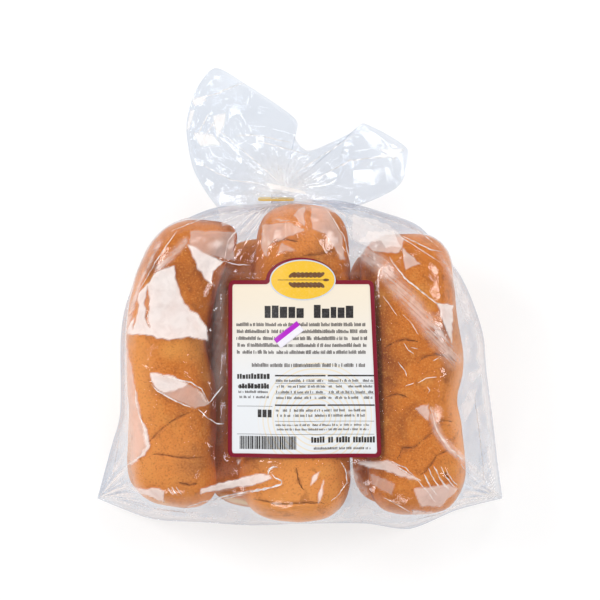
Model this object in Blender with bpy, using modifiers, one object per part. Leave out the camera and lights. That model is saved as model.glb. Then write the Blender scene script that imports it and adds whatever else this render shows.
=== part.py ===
"""Clear bread bag of six hoagie rolls, lying on its back with the label up.

The bag is one solid out to its film. The film is worked out as a slack sheet
lying over the rolls. It is gathered at a neck, which a closure tag grips, and
beyond the neck its open mouth fans out in two pleated flaps.
"""

import math

import bpy
import numpy as np

# Sizes in metres. X runs across the pack and Y from its sealed end to its
# mouth, and the pack rests on Z = 0.
FRONT_LAYER_BASE = 0.045
FRONT_LAYER_HEIGHT = 0.048
BACK_LAYER_BASE = 0.001
BACK_LAYER_HEIGHT = 0.045

# Each roll: foot x and y, head x and y, base, height, half width at foot and head,
# and how far it bows sideways on its way to the head.
ROLLS = {
    "front_left": (-0.0755, -0.122, -0.052, 0.047, FRONT_LAYER_BASE, FRONT_LAYER_HEIGHT, 0.0262, 0.0238, -0.0165),
    "front_middle": (-0.003, -0.131, 0.002, 0.057, FRONT_LAYER_BASE - 0.003, 0.050, 0.0330, 0.0265, 0.0),
    "front_right": (0.069, -0.127, 0.060, 0.039, FRONT_LAYER_BASE, FRONT_LAYER_HEIGHT, 0.0285, 0.0275, 0.0025),
    "back_left": (-0.082, -0.122, -0.067, 0.032, BACK_LAYER_BASE, BACK_LAYER_HEIGHT, 0.0250, 0.0240, -0.0030),
    "back_middle": (-0.031, -0.126, -0.017, 0.037, BACK_LAYER_BASE, BACK_LAYER_HEIGHT, 0.0250, 0.0245, 0.0),
    "back_right": (0.060, -0.125, 0.056, 0.032, BACK_LAYER_BASE, BACK_LAYER_HEIGHT, 0.0270, 0.0260, 0.0),
}
ROLL_WIDEST_SHARE = 0.42
ROLL_PLAN_POWER = 2.2
ROLL_SECTION_POWER = 2.3
FILM_OVER_ROLL = 0.0012

# Outline of the filled bag from above: x, y and the height of its edge.
BODY_HEART = (0.004, -0.045)
BODY_EDGE = (
    (-0.1256, -0.123, 0.010),
    (-0.116, -0.090, 0.020),
    (-0.109, -0.068, 0.038),
    (-0.107, -0.022, 0.045),
    (-0.102, 0.002, 0.046),
    (-0.085, 0.036, 0.046),
    (-0.070, 0.047, 0.046),
    (-0.050, 0.055, 0.046),
    (-0.024, 0.0570, 0.045),
    (0.000, 0.0585, 0.046),
    (0.024, 0.0590, 0.046),
    (0.050, 0.052, 0.046),
    (0.072, 0.043, 0.044),
    (0.094, 0.017, 0.040),
    (0.104, -0.002, 0.036),
    (0.111, -0.022, 0.031),
    (0.114, -0.044, 0.028),
    (0.118, -0.072, 0.024),
    (0.122, -0.101, 0.016),
    (0.1255, -0.123, 0.010),
    (0.097, -0.130, 0.012),
    (0.068, -0.1414, 0.014),
    (0.040, -0.138, 0.015),
    (0.001, -0.138, 0.016),
    (-0.030, -0.139, 0.016),
    (-0.062, -0.137, 0.016),
    (-0.093, -0.135, 0.014),
)
BODY_SEGMENTS = 88
BODY_RINGS = 42
BODY_UPPER_RINGS = 32
RINGS_TOWARDS_EDGE = 1.5
EDGE_BLEND = 0.035
FLAT_BASE_SHARE = 0.78

# Outline of the two flaps of the open mouth beyond the neck.
MOUTH_HEART = (-0.0105, 0.0700)
MOUTH_HEIGHT = 0.049
MOUTH_EDGE = (
    (-0.038, 0.0600, 0.0475),
    (-0.051, 0.0600, 0.046),
    (-0.065, 0.081, 0.043),
    (-0.069, 0.105, 0.036),
    (-0.064, 0.127, 0.031),
    (-0.052, 0.1415, 0.030),
    (-0.034, 0.132, 0.033),
    (-0.003, 0.110, 0.038),
    (-0.003, 0.098, 0.041),
    (0.006, 0.090, 0.044),
    (0.032, 0.102, 0.038),
    (0.040, 0.107, 0.035),
    (0.066, 0.092, 0.028),
    (0.062, 0.072, 0.032),
    (0.048, 0.063, 0.040),
    (0.020, 0.0595, 0.047),
    (0.002, 0.0630, 0.049),
    (-0.0105, 0.0642, 0.049),
    (-0.028, 0.0640, 0.048),
)
MOUTH_SEGMENTS = 72
MOUTH_RINGS = 14
FLAP_HALF_THICKNESS = 0.0018
FLAP_SWELL_AT_NECK = 0.0050
PLEATS = 11
PLEAT_DEPTH = 0.0028

# Folds of the filled bag that run in to the neck.
SHOULDER_FOLDS = 16
SHOULDER_FOLD_DEPTH = 0.0022
SHOULDER_FOLD_REACH = 0.029

# The gathered neck, a short round bundle of film.
NECK_X = MOUTH_HEART[0]
NECK_Z = 0.048
NECK_RADIUS = 0.0042
NECK_Y = (0.050, 0.070)

# The closure tag: a flat square of plastic gripping the neck.
TAG_WIDTH = 0.0215
TAG_HEIGHT = 0.0200
TAG_THICKNESS = 0.0010
TAG_CORNER = 0.0035
TAG_HOLE_RADIUS = 0.0047
TAG_SLOT_WIDTH = 0.0032
TAG_HOLE_OFF_CENTRE = (0.0040, 0.0020)
TAG_Y = 0.0608
TAG_TILT = math.radians(7)

# The label, arched in the middle of its top edge, and the price sticker on it.
# The label bows towards its top, where the rolls lie closer, so from above it
# is narrower there.
LABEL_FOOT = (0.0026, -0.0915)
LABEL_HEAD = (0.0006, 0.0115)
LABEL_FOOT_WIDTH = 0.0890
LABEL_HEAD_WIDTH = 0.0845
LABEL_CORNER = 0.0035
ARCH_HALF_WIDTH = 0.0215
ARCH_RISE = 0.0130
LABEL_GRID = (24, 22)
STICKER_SIZE = (0.0170, 0.0068)
STICKER_CENTRE = (-0.0065, -0.0201)
STICKER_TURN = math.radians(38)
STICKER_GRID = (6, 3)
PAPER = 0.0004
GAP = 0.0005

# The grid on which the slack film is worked out.
GRID_STEP = 0.0015
GRID_REACH = 0.150
RELAX_STEPS = 900
SMOOTH_STEPS = 6


def clear_scene():
    for thing in list(bpy.data.objects):
        bpy.data.objects.remove(thing)


def rounded_outline(points, per_span=8, tension=0.4):
    """A closed curve through the points, eased between neighbours."""
    knots = np.array(points)
    before, after, beyond = (np.roll(knots, shift, axis=0) for shift in (1, -1, -2))
    curve = []
    for a, b, c, d in zip(before, knots, after, beyond):
        slope_in, slope_out = tension * (c - a), tension * (d - b)
        for s in np.arange(per_span) / per_span:
            ends = (2 * s**3 - 3 * s**2 + 1) * b + (3 * s**2 - 2 * s**3) * c
            curve.append(ends + (s**3 - 2 * s**2 + s) * slope_in + (s**3 - s**2) * slope_out)
    return np.array(curve)


class Edge:
    """An outline as a reach and a height for each direction from its heart."""

    def __init__(self, points, heart):
        curve = rounded_outline(points)
        self.heart = np.array(heart)
        spokes = curve[:, :2] - self.heart
        angle = np.arctan2(spokes[:, 1], spokes[:, 0])
        order = np.argsort(angle)
        self.angle = angle[order]
        self.reach = np.hypot(*spokes.T)[order]
        self.height = curve[order, 2]

    def at(self, angle):
        reach = np.interp(angle, self.angle, self.reach, period=2 * math.pi)
        return reach, np.interp(angle, self.angle, self.height, period=2 * math.pi)


def bow_shape(share):
    """A sideways bow of 1 at its strongest, two thirds of the way to the head."""
    return 27 / 4 * share**2 * (1 - share)


def roll_top(roll, x, y):
    """Height of a roll's upper crust at each x, y, or -1 beside the roll."""
    foot_x, foot_y, head_x, head_y, base, height, foot_half, head_half, bow = roll
    length = math.hypot(head_x - foot_x, head_y - foot_y)
    along_x, along_y = (head_x - foot_x) / length, (head_y - foot_y) / length
    along = (x - foot_x) * along_x + (y - foot_y) * along_y
    share = np.clip(along / length, 0, 1)
    across = (x - foot_x) * along_y - (y - foot_y) * along_x - bow * bow_shape(share)
    half = foot_half + (head_half - foot_half) * share + FILM_OVER_ROLL
    past_end = np.maximum(half - along, along - (length - half)).clip(0)
    power = ROLL_PLAN_POWER
    spread = (np.abs(across / half) ** power + (past_end / half) ** power) ** (1 / power)
    dome = (1 - np.minimum(spread, 1) ** ROLL_SECTION_POWER) ** (1 / ROLL_SECTION_POWER)
    top = base + FILM_OVER_ROLL + height * (ROLL_WIDEST_SHARE + (1 - ROLL_WIDEST_SHARE) * dome)
    return np.where(spread < 1, top, -1.0)


def mean_of_neighbours(field):
    return sum(np.roll(field, shift, axis) for shift in (1, -1) for axis in (0, 1)) / 4


def film_over_rolls(edge):
    """The height of the slack upper film, as a function of x and y."""
    line = np.arange(-GRID_REACH, GRID_REACH + GRID_STEP, GRID_STEP)
    x, y = np.meshgrid(line, line)
    reach, rim = edge.at(np.arctan2(y - edge.heart[1], x - edge.heart[0]))
    inside = np.hypot(x - edge.heart[0], y - edge.heart[1]) < reach
    held_up = np.max([roll_top(roll, x, y) for roll in ROLLS.values()], axis=0)
    film = np.where(inside, np.maximum(held_up, rim), rim)
    for _ in range(RELAX_STEPS):
        film = np.where(inside, np.maximum(held_up, mean_of_neighbours(film)), rim)
    for _ in range(SMOOTH_STEPS):
        film = mean_of_neighbours(film)

    def height(x, y):
        column, row = (x + GRID_REACH) / GRID_STEP, (y + GRID_REACH) / GRID_STEP
        left, low = int(column), int(row)
        right_share, up_share = column - left, row - low
        near, far = film[low], film[low + 1]
        nearer = near[left] * (1 - right_share) + near[left + 1] * right_share
        farther = far[left] * (1 - right_share) + far[left + 1] * right_share
        return nearer * (1 - up_share) + farther * up_share

    return height


def pillow(name, edge, segments, rings, upper_rings, crowding, surface):
    """A UV sphere opened out to an outline, so that its equator is the edge.

    surface gives the height for x, y, the share of the way out to the edge,
    the edge's height there and whether the point is on the upper side.
    """
    bpy.ops.mesh.primitive_uv_sphere_add(segments=segments, ring_count=rings, radius=1)
    shape = bpy.context.object
    shape.name = shape.data.name = name
    for vertex in shape.data.vertices:
        direction = vertex.co.normalized()
        ring = math.acos(max(-1.0, min(1.0, direction.z))) * rings / math.pi
        upper = ring < upper_rings + 0.5
        share = ring / upper_rings if upper else (rings - ring) / (rings - upper_rings)
        out = 1 - max(0.0, 1 - share) ** crowding
        angle = math.atan2(direction.y, direction.x)
        reach, rim = edge.at(angle)
        x = edge.heart[0] + out * reach * math.cos(angle)
        y = edge.heart[1] + out * reach * math.sin(angle)
        vertex.co = (x, y, surface(x, y, out, rim, upper))
    return shape


def shoulder_fold(x, y):
    """The rise of the folds that run in to the neck, at x, y."""
    from_neck_x, from_neck_y = x - NECK_X, y - NECK_Y[1]
    near = math.exp(-((math.hypot(from_neck_x, from_neck_y) / SHOULDER_FOLD_REACH) ** 2))
    angle = math.atan2(from_neck_y, from_neck_x)
    return SHOULDER_FOLD_DEPTH * near * math.sin(SHOULDER_FOLDS * angle)


def filled_body(edge, film):
    """The bag round its rolls: the slack film above, a flat base below."""

    def surface(x, y, out, rim, upper):
        if upper:
            blend = max(0.0, out - 1 + EDGE_BLEND) / EDGE_BLEND
            height = film(x, y) + shoulder_fold(x, y)
            return height * (1 - blend) + rim * blend
        rise = max(0.0, out - FLAT_BASE_SHARE) / (1 - FLAT_BASE_SHARE)
        return rim * rise**2

    return pillow(
        "bag", edge, BODY_SEGMENTS, BODY_RINGS, BODY_UPPER_RINGS, RINGS_TOWARDS_EDGE, surface
    )


def open_mouth():
    """The two flaps beyond the neck, pleated where they are gathered."""
    edge = Edge(MOUTH_EDGE, MOUTH_HEART)

    def surface(x, y, out, rim, upper):
        angle = math.atan2(y - MOUTH_HEART[1], x - MOUTH_HEART[0])
        pleat = PLEAT_DEPTH * math.sin(PLEATS * angle) * math.sin(math.pi * min(out, 1.0))
        half = FLAP_SWELL_AT_NECK * (1 - out) ** 2 + FLAP_HALF_THICKNESS * (1 - out**4)
        middle = MOUTH_HEIGHT + (rim - MOUTH_HEIGHT) * out + pleat
        return middle + half if upper else middle - half

    return pillow("mouth", edge, MOUTH_SEGMENTS, MOUTH_RINGS, MOUTH_RINGS // 2, 1, surface)


def gathered_neck():
    bpy.ops.mesh.primitive_cylinder_add(
        vertices=20,
        radius=NECK_RADIUS,
        depth=NECK_Y[1] - NECK_Y[0],
        location=(NECK_X, sum(NECK_Y) / 2, NECK_Z),
        rotation=(math.pi / 2, 0, 0),
    )
    return bpy.context.object


def combine(keep, extra, operation):
    """Joins extra to keep, or cuts it out of keep, and removes it."""
    step = keep.modifiers.new("combine", "BOOLEAN")
    step.operation = operation
    step.solver = "EXACT"
    step.object = extra
    bpy.context.view_layer.objects.active = keep
    bpy.ops.object.modifier_apply(modifier=step.name)
    bpy.data.objects.remove(extra)


def sheet_on(name, grid, place, height):
    """A sheet of paper that follows the height under it."""
    bpy.ops.mesh.primitive_grid_add(x_subdivisions=grid[0], y_subdivisions=grid[1], size=2)
    sheet = bpy.context.object
    sheet.name = sheet.data.name = name
    for vertex in sheet.data.vertices:
        x, y = place(vertex.co.x, vertex.co.y)
        vertex.co = (x, y, height(x, y))
    wall = sheet.modifiers.new("thickness", "SOLIDIFY")
    wall.thickness = PAPER
    wall.offset = 1
    return sheet


def label_on(film):
    """The label: rounded at its corners, with an arch in its top edge."""
    foot, head = np.array(LABEL_FOOT), np.array(LABEL_HEAD)
    straight = LABEL_FOOT_WIDTH / 2 - LABEL_CORNER

    def place(across, up):
        u = across * LABEL_FOOT_WIDTH / 2
        past = max(0.0, abs(u) - straight)
        cut = LABEL_CORNER - math.sqrt(max(0.0, LABEL_CORNER**2 - past**2))
        arch = ARCH_RISE * math.sqrt(max(0.0, 1 - (u / ARCH_HALF_WIDTH) ** 2))
        share = (up + 1) / 2
        x, y = foot + (head - foot) * share
        width = LABEL_FOOT_WIDTH + (LABEL_HEAD_WIDTH - LABEL_FOOT_WIDTH) * share
        return x + across * width / 2, y + cut * (1 - share) + (arch - cut) * share

    return sheet_on("label", LABEL_GRID, place, lambda x, y: film(x, y) + GAP)


def sticker_on(film):
    """The small price sticker, set askew on the label."""
    cos, sin = math.cos(STICKER_TURN), math.sin(STICKER_TURN)

    def place(across, up):
        u, v = across * STICKER_SIZE[0] / 2, up * STICKER_SIZE[1] / 2
        return STICKER_CENTRE[0] + u * cos - v * sin, STICKER_CENTRE[1] + u * sin + v * cos

    return sheet_on(
        "price_sticker", STICKER_GRID, place, lambda x, y: film(x, y) + PAPER + 2 * GAP
    )


def closure_tag():
    """A flat tag with a hole round the neck and a slot into the hole."""
    bpy.ops.mesh.primitive_cube_add(size=1, scale=(TAG_WIDTH, TAG_HEIGHT, TAG_THICKNESS))
    tag = bpy.context.object
    tag.name = tag.data.name = "closure_tag"
    weights = tag.data.attributes.new("bevel_weight_edge", "FLOAT", "EDGE").data
    for edge in tag.data.edges:
        first, second = (tag.data.vertices[index].co for index in edge.vertices)
        weights[edge.index].value = float(abs(first.z - second.z) > TAG_THICKNESS / 2)
    corners = tag.modifiers.new("corners", "BEVEL")
    corners.width = TAG_CORNER
    corners.segments = 4
    corners.limit_method = "WEIGHT"
    bpy.ops.object.modifier_apply(modifier=corners.name)
    hole_x, hole_y = TAG_HOLE_OFF_CENTRE
    bpy.ops.mesh.primitive_cylinder_add(
        vertices=24, radius=TAG_HOLE_RADIUS, depth=4 * TAG_THICKNESS, location=(hole_x, hole_y, 0)
    )
    combine(tag, bpy.context.object, "DIFFERENCE")
    bpy.ops.mesh.primitive_cube_add(
        size=1,
        scale=(TAG_WIDTH, TAG_SLOT_WIDTH, 4 * TAG_THICKNESS),
        location=(hole_x + TAG_WIDTH / 2, hole_y, 0),
    )
    combine(tag, bpy.context.object, "DIFFERENCE")
    tag.rotation_euler = (math.pi / 2 + TAG_TILT, 0, 0)
    tag.location = (NECK_X - hole_x, TAG_Y, NECK_Z - hole_y)
    return tag


def centre_over_origin(things, widest):
    """Moves everything so that the widest piece is centred on X and Y, its base at Z = 0."""
    corners = np.array([vertex.co for vertex in widest.data.vertices])
    low, high = corners.min(axis=0), corners.max(axis=0)
    for thing in things:
        thing.location.x -= (low[0] + high[0]) / 2
        thing.location.y -= (low[1] + high[1]) / 2
        thing.location.z -= low[2]


def finish(thing, name, colour, roughness):
    """Gives the piece a Principled material of one colour."""
    made = bpy.data.materials.new(name)
    made.use_nodes = True
    shader = made.node_tree.nodes["Principled BSDF"]
    shader.inputs["Base Color"].default_value = (*colour, 1.0)
    shader.inputs["Roughness"].default_value = roughness
    made.diffuse_color = (*colour, 1.0)
    thing.data.materials.clear()
    thing.data.materials.append(made)


def main():
    clear_scene()
    body_edge = Edge(BODY_EDGE, BODY_HEART)
    film = film_over_rolls(body_edge)
    bag = filled_body(body_edge, film)
    combine(bag, gathered_neck(), "UNION")
    combine(bag, open_mouth(), "UNION")
    label, sticker, tag = label_on(film), sticker_on(film), closure_tag()
    centre_over_origin([bag, label, sticker, tag], bag)
    finish(bag, "bread_under_film", (0.62, 0.34, 0.13), 0.25)
    finish(label, "label_paper", (0.86, 0.80, 0.68), 0.45)
    finish(sticker, "sticker_paper", (0.88, 0.86, 0.90), 0.45)
    finish(tag, "tag_plastic", (0.90, 0.66, 0.08), 0.40)


main()
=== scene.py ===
"""Looks of a clear bread bag of six hoagie rolls, lying on its back with the label up.

Each operator makes one piece or one group of like pieces. Lengths are in metres, X runs across the
pack and Y from its sealed end to its mouth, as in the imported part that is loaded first.
"""

import functools
import math

import bpy
import numpy as np
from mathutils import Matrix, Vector, geometry, noise
from mathutils.bvhtree import BVHTree


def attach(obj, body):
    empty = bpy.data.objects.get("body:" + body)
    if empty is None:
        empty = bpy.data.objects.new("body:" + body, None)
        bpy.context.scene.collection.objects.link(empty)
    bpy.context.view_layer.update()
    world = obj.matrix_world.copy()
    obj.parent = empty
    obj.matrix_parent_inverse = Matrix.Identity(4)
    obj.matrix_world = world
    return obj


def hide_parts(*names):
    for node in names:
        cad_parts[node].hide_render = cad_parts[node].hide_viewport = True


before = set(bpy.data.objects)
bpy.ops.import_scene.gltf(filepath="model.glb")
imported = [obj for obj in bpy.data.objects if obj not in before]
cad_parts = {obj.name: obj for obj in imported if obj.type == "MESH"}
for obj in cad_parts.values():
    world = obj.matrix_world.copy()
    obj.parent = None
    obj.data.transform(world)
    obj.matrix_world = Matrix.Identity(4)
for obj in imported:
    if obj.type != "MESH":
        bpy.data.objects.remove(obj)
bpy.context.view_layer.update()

bl_info = {
    "name": "Bag of Hoagie Rolls",
    "version": (1, 0, 0),
    "blender": (4, 5, 0),
    "location": "3D View > Sidebar > Bread Bag",
    "description": "Makes a clear bag of bread rolls with its label and closure, and a plain studio",
    "category": "Add Mesh",
}

MM = 0.001
# Vector noise starts from the clock unless it is given a seed.
NOISE_SEED = 7

# The rolls: foot x and y, head x and y, base, height, half width at foot and head, sideways bow.
FRONT_BASE = 0.045
FRONT_HEIGHT = 0.048
BACK_BASE = 0.001
BACK_HEIGHT = 0.045
ROLLS = {
    "front_left": (-0.0755, -0.122, -0.052, 0.047, FRONT_BASE, FRONT_HEIGHT, 0.0262, 0.0238, -0.0165),
    "front_middle": (-0.003, -0.131, 0.002, 0.057, FRONT_BASE - 0.003, 0.050, 0.0330, 0.0265, 0.0),
    "front_right": (0.069, -0.127, 0.060, 0.039, FRONT_BASE, FRONT_HEIGHT, 0.0285, 0.0275, 0.0025),
    "back_left": (-0.081, -0.122, -0.069, 0.036, BACK_BASE, BACK_HEIGHT, 0.0265, 0.0255, -0.0030),
    "back_middle": (-0.028, -0.126, -0.018, 0.037, BACK_BASE, BACK_HEIGHT + 0.012, 0.0310, 0.0310, 0.0),
    "back_right": (0.060, -0.125, 0.056, 0.032, BACK_BASE, BACK_HEIGHT, 0.0270, 0.0260, 0.0),
}
WIDEST_SHARE = 0.42
PLAN_POWER = 2.8
SECTION_POWER = 2.5

def traced(*tenths):
    """Points in metres from their x and y in tenths of a millimetre, one after the other."""
    return tuple((x / 10000, y / 10000) for x, y in zip(tenths[::2], tenths[1::2]))


# Swellings and pinches of a roll's sides: y of its middle, reach along the roll, then how far the
# left and the right side move outwards.
SIDE_SWELLINGS = {
    "front_left": (
        (-0.024, 0.012, 0.0005, -0.0030),
        (-0.048, 0.011, 0.0, 0.0020),
        (-0.092, 0.012, 0.0, -0.0015),
    ),
    "front_middle": ((-0.105, 0.018, 0.0020, 0.0), (0.016, 0.014, 0.0, 0.0012)),
    "front_right": (
        (-0.060, 0.010, 0.0, -0.0026),
        (-0.034, 0.014, 0.0, 0.0022),
        (-0.100, 0.016, 0.0, 0.0022),
    ),
}

# Creases in the crust, each a line of points seen from above, in tenths of a millimetre.
CRUST_CREASES = {
    "front_left": (
        traced(-876, -824, -835, -777, -789, -737, -742, -702, -690, -673, -632, -650),
        traced(-864, -893, -760, -899, -713, -910, -632, -916, -560, -915),
        traced(-900, -100, -835, -60, -770, -45),
        traced(-700, -1060, -640, -1075, -590, -1062),
    ),
    "front_middle": (
        traced(29, 255, 110, 262, 209, 290),
        traced(-30, -960, -12, -1030, 17, -1102),
        traced(-273, -1160, -120, -1188, 30, -1180, 145, -1183),
        traced(-180, 330, -90, 352, -10, 338),
    ),
    "front_right": (
        traced(493, -278, 545, -244, 609, -226, 684, -244),
        traced(679, -365, 713, -331, 789, -313, 870, -331, 916, -360),
        traced(563, -922, 592, -858, 661, -853, 702, -818, 777, -760),
        traced(770, -768, 795, -720, 824, -696, 895, -708),
        traced(702, -1015, 771, -940, 795, -899, 864, -870),
        traced(841, -998, 864, -1038),
        traced(500, -560, 560, -545, 620, -560),
    ),
}
# Painted light (+) and painted shade (-) on the crust, where the lamps light or shade the rolls' sides: x,
# y, reach across, reach along, amount.
CRUST_LIGHT_AND_SHADE = {
    "front_left": (
        (-0.0940, -0.045, 0.010, 0.060, 0.95),
        (-0.0750, -0.095, 0.030, 0.030, 0.50),
        (-0.0540, -0.055, 0.006, 0.045, -0.42),
        (-0.0600, 0.020, 0.020, 0.025, -0.25),
    ),
    "front_middle": ((-0.0040, -0.115, 0.040, 0.028, 0.95), (0.0000, 0.040, 0.030, 0.020, 0.30)),
    "front_right": (
        (0.0440, -0.040, 0.009, 0.060, -0.95),
        (0.0940, -0.060, 0.009, 0.060, 0.80),
        (0.0700, -0.110, 0.025, 0.020, 0.15),
    ),
    "back_left": ((-0.1000, -0.040, 0.018, 0.080, 1.10),),
    "back_middle": ((-0.0450, -0.020, 0.020, 0.090, 0.75),),
    "back_right": ((0.0850, -0.040, 0.012, 0.080, 0.50),),
}
CREASE_DEPTH = 1.0 * MM
CREASE_HALF_WIDTH = 0.75 * MM
CRACK_WIDTH = 0.58 * MM
CREASE_LIP = 0.30 * MM
# Lumps of the crust: share of the height set for them, and size in metres.
CRUST_LUMPS = ((1.0, 0.030), (0.40, 0.011), (0.12, 0.0042))
FRONT_ROLL_CELLS = (300, 220)
BACK_ROLL_CELLS = (96, 80)

# Outline of the filled bag from above: x, y and the height of its edge, and its corner points.
BODY_HEART = (0.004, -0.045)
BODY_EDGE = (
    (-0.1256, -0.123, 0.010),
    (-0.116, -0.090, 0.020),
    (-0.109, -0.068, 0.038),
    (-0.107, -0.022, 0.056),
    (-0.102, 0.002, 0.060),
    (-0.085, 0.036, 0.062),
    (-0.070, 0.047, 0.062),
    (-0.050, 0.055, 0.061),
    (-0.024, 0.0570, 0.061),
    (0.000, 0.0590, 0.063),
    (0.024, 0.0590, 0.061),
    (0.050, 0.052, 0.060),
    (0.072, 0.043, 0.060),
    (0.094, 0.017, 0.058),
    (0.104, -0.002, 0.050),
    (0.111, -0.022, 0.040),
    (0.114, -0.044, 0.028),
    (0.118, -0.072, 0.024),
    (0.122, -0.101, 0.016),
    (0.1255, -0.123, 0.010),
    (0.097, -0.130, 0.012),
    (0.068, -0.1414, 0.014),
    (0.040, -0.138, 0.015),
    (0.001, -0.138, 0.016),
    (-0.030, -0.139, 0.016),
    (-0.062, -0.137, 0.016),
    (-0.093, -0.135, 0.014),
)
FOOT_LEFT, SHOULDER_LEFT, SHOULDER_RIGHT, FOOT_RIGHT = 0, 5, 12, 19
POINTS_PER_SPAN = 8
FRONT_CELLS = (310, 250)
BACK_CELLS = (180, 150)

# The open mouth beyond the neck.
MOUTH_HEART = (-0.0105, 0.0640)
MOUTH_HEIGHT = 0.049
MOUTH_EDGE = (
    (-0.036, 0.0510, 0.0475),
    (-0.049, 0.0550, 0.046),
    (-0.064, 0.078, 0.043),
    (-0.069, 0.105, 0.036),
    (-0.064, 0.127, 0.031),
    (-0.052, 0.1415, 0.030),
    (-0.034, 0.132, 0.033),
    (-0.003, 0.110, 0.038),
    (-0.003, 0.098, 0.041),
    (0.006, 0.090, 0.044),
    (0.032, 0.102, 0.038),
    (0.040, 0.107, 0.035),
    (0.066, 0.092, 0.028),
    (0.062, 0.072, 0.032),
    (0.050, 0.063, 0.040),
    (0.028, 0.0545, 0.046),
    (0.008, 0.0535, 0.049),
    (-0.0105, 0.0530, 0.049),
    (-0.024, 0.0520, 0.048),
)
MOUTH_SPOKES = 340
MOUTH_RINGS = 90

NECK_X = -0.0105
NECK_Y = (0.0520, 0.0680)
NECK_Z = 0.048
NECK_RADIUS = 0.0040
NECK_RINGS = 40
NECK_SIDES = 180
GATHER = (NECK_X, 0.0655)
TAG_PLACE = (-0.0150, 0.0600)
TAG_REACH = (0.0115, 0.0026)
STREAKS_PER_RADIAN = 90
STREAK_LENGTH = 0.035

# The label: foot and head of its middle line, its widths there and its arch.
LABEL_FOOT = (0.0026, -0.0915)
LABEL_HEAD = (0.0006, 0.0115)
LABEL_FOOT_WIDTH = 0.0890
LABEL_HEAD_WIDTH = 0.0845
LABEL_CORNER = 0.0035
ARCH_HALF_WIDTH = 0.0215
ARCH_RISE = 0.0130
LABEL_CELLS = (150, 180)
LABEL_LIFT = 0.45 * MM
BADGE_CENTRE = (0.0016, 0.0116)
BADGE_HALF_AXES = (0.0184, 0.0111)
STICKER_SIZE = (0.0170, 0.0068)
STICKER_CENTRE = (-0.0065, -0.0201)
STICKER_TURN = math.radians(38)

# The slack film is worked out on a square grid.
GRID_STEP = 1.0 * MM
GRID_REACH = 0.150
RELAX_STEPS = 1500
FILM_OVER_CRUST = 0.7 * MM
ROLL_SEARCH = 20 * MM
# Shares of the way out to the edge beyond which the film is pushed off the rolls' sides.
FRONT_PUSHED_FROM = 0.86
BACK_PUSHED_FROM = 0.60


def linear(hex_colour):
    """An sRGB hex colour as linear RGBA."""
    shares = [int(hex_colour[i : i + 2], 16) / 255 for i in (1, 3, 5)]
    return (*[s / 12.92 if s <= 0.04045 else ((s + 0.055) / 1.055) ** 2.4 for s in shares], 1.0)


def colour(name, description, hex_colour):
    return bpy.props.FloatVectorProperty(
        name=name, description=description, subtype="COLOR", size=4, min=0, max=1, default=linear(hex_colour)
    )


def length(name, description, metres):
    return bpy.props.FloatProperty(
        name=name, description=description, subtype="DISTANCE", unit="LENGTH", default=metres, min=0
    )


class BreadSettings(bpy.types.PropertyGroup):
    """Colours and relief of the rolls."""

    crust: colour("Crust", "Colour of most of the baked crust", "#DC7A22")
    crust_light: colour("Light crust", "Colour of the crust where it browned least", "#F2A44C")
    # Painted light: this pale colour lightens the lit edges of the rolls.
    crust_painted_light: colour("Pale crust", "Colour of the crust where the next roll shaded it", "#FFA452")
    # This dark colour is the deepest browning and also the painted shade on the rolls' shaded edges.
    crust_dark_and_shade: colour("Dark crust", "Colour of the crust where it browned most", "#8E400E")
    crumb: colour("Crumb", "Colour of the pale foot of a roll", "#F2D3A0")
    lump: length("Lump height", "How far the broad lumps of the crust rise", 0.9 * MM)
    pore: length("Pore size", "Width of the pores in the crust", 1.15 * MM)


class FilmSettings(bpy.types.PropertyGroup):
    """Colours and creases of the clear film."""

    tint: colour("Tint", "What a sheet of film lets through", "#F3F6FA")
    # The fold colour is also the painted shade of facets turned from the light and of valleys.
    fold: colour("Fold", "What film lets through where it is folded double", "#C3CAD6")
    # This white is also the colour of the film's painted glare and painted highlights.
    veil_and_glare: colour("Veil", "Colour of the film where it is creased white", "#FFFBF8")
    facet: length("Facet size", "Distance between the peaks of the crumpled film", 13 * MM)
    crumple: length("Crumple height", "How far the crumpled film rises where it is slack", 4.0 * MM)
    crease: length("Crease width", "Width of the sharp white creases", 0.7 * MM)


class LabelSettings(bpy.types.PropertyGroup):
    """Colours of the printed label, the sticker and the closure."""

    paper_head: colour("Paper at the head", "Warm paper near the badge", "#EDE1CD")
    paper_foot: colour("Paper at the foot", "Cool white paper lower down", "#E4E7EB")
    border: colour("Border", "Dark red edge of the label", "#7C0C26")
    ink: colour("Ink", "Dark print", "#231F20")
    badge: colour("Badge", "Yellow badge", "#EDBD2E")
    rim: colour("Badge rim", "Pale rim of the badge", "#C9D2DE")
    stamp: colour("Sticker end", "Purple end of the price sticker", "#B21FC4")
    closure: colour("Closure", "Yellow plastic of the closure tag", "#F5C93A")
    border_width: length("Border width", "Width of the dark red edge", 2.4 * MM)


class StudioSettings(bpy.types.PropertyGroup):
    """Camera, floor and lights."""

    camera_height: length("Camera height", "Height of the camera above the floor", 1.25)
    floor: colour("Floor", "Colour of the plain floor", "#B4B4B4")
    glow: bpy.props.FloatProperty(
        name="Floor glow", description="Brightness of the light table", default=0.58, min=0
    )
    surround: bpy.props.FloatProperty(
        name="Surround", description="Brightness of the even light from all round", default=0.46, min=0
    )
    softbox: bpy.props.FloatProperty(
        name="Softbox", description="Brightness of the face of a softbox", default=12.0, min=0
    )


def settings():
    return bpy.context.scene.bread_bag


# Kinds of node that are used often, and what makes a mix node blend colours.
MATH = "ShaderNodeMath"
NOISE = "ShaderNodeTexNoise"
RANGE = "ShaderNodeMapRange"
MIX = "ShaderNodeMix"
MIX_SHADER = "ShaderNodeMixShader"
BUMP = "ShaderNodeBump"
PRINCIPLED = "ShaderNodeBsdfPrincipled"
COORDINATES = "ShaderNodeTexCoord"
PAINTED = "ShaderNodeAttribute"
OUTPUT = "ShaderNodeOutputMaterial"
IN_COLOUR = {"data_type": "RGBA", "out": 2}


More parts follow.
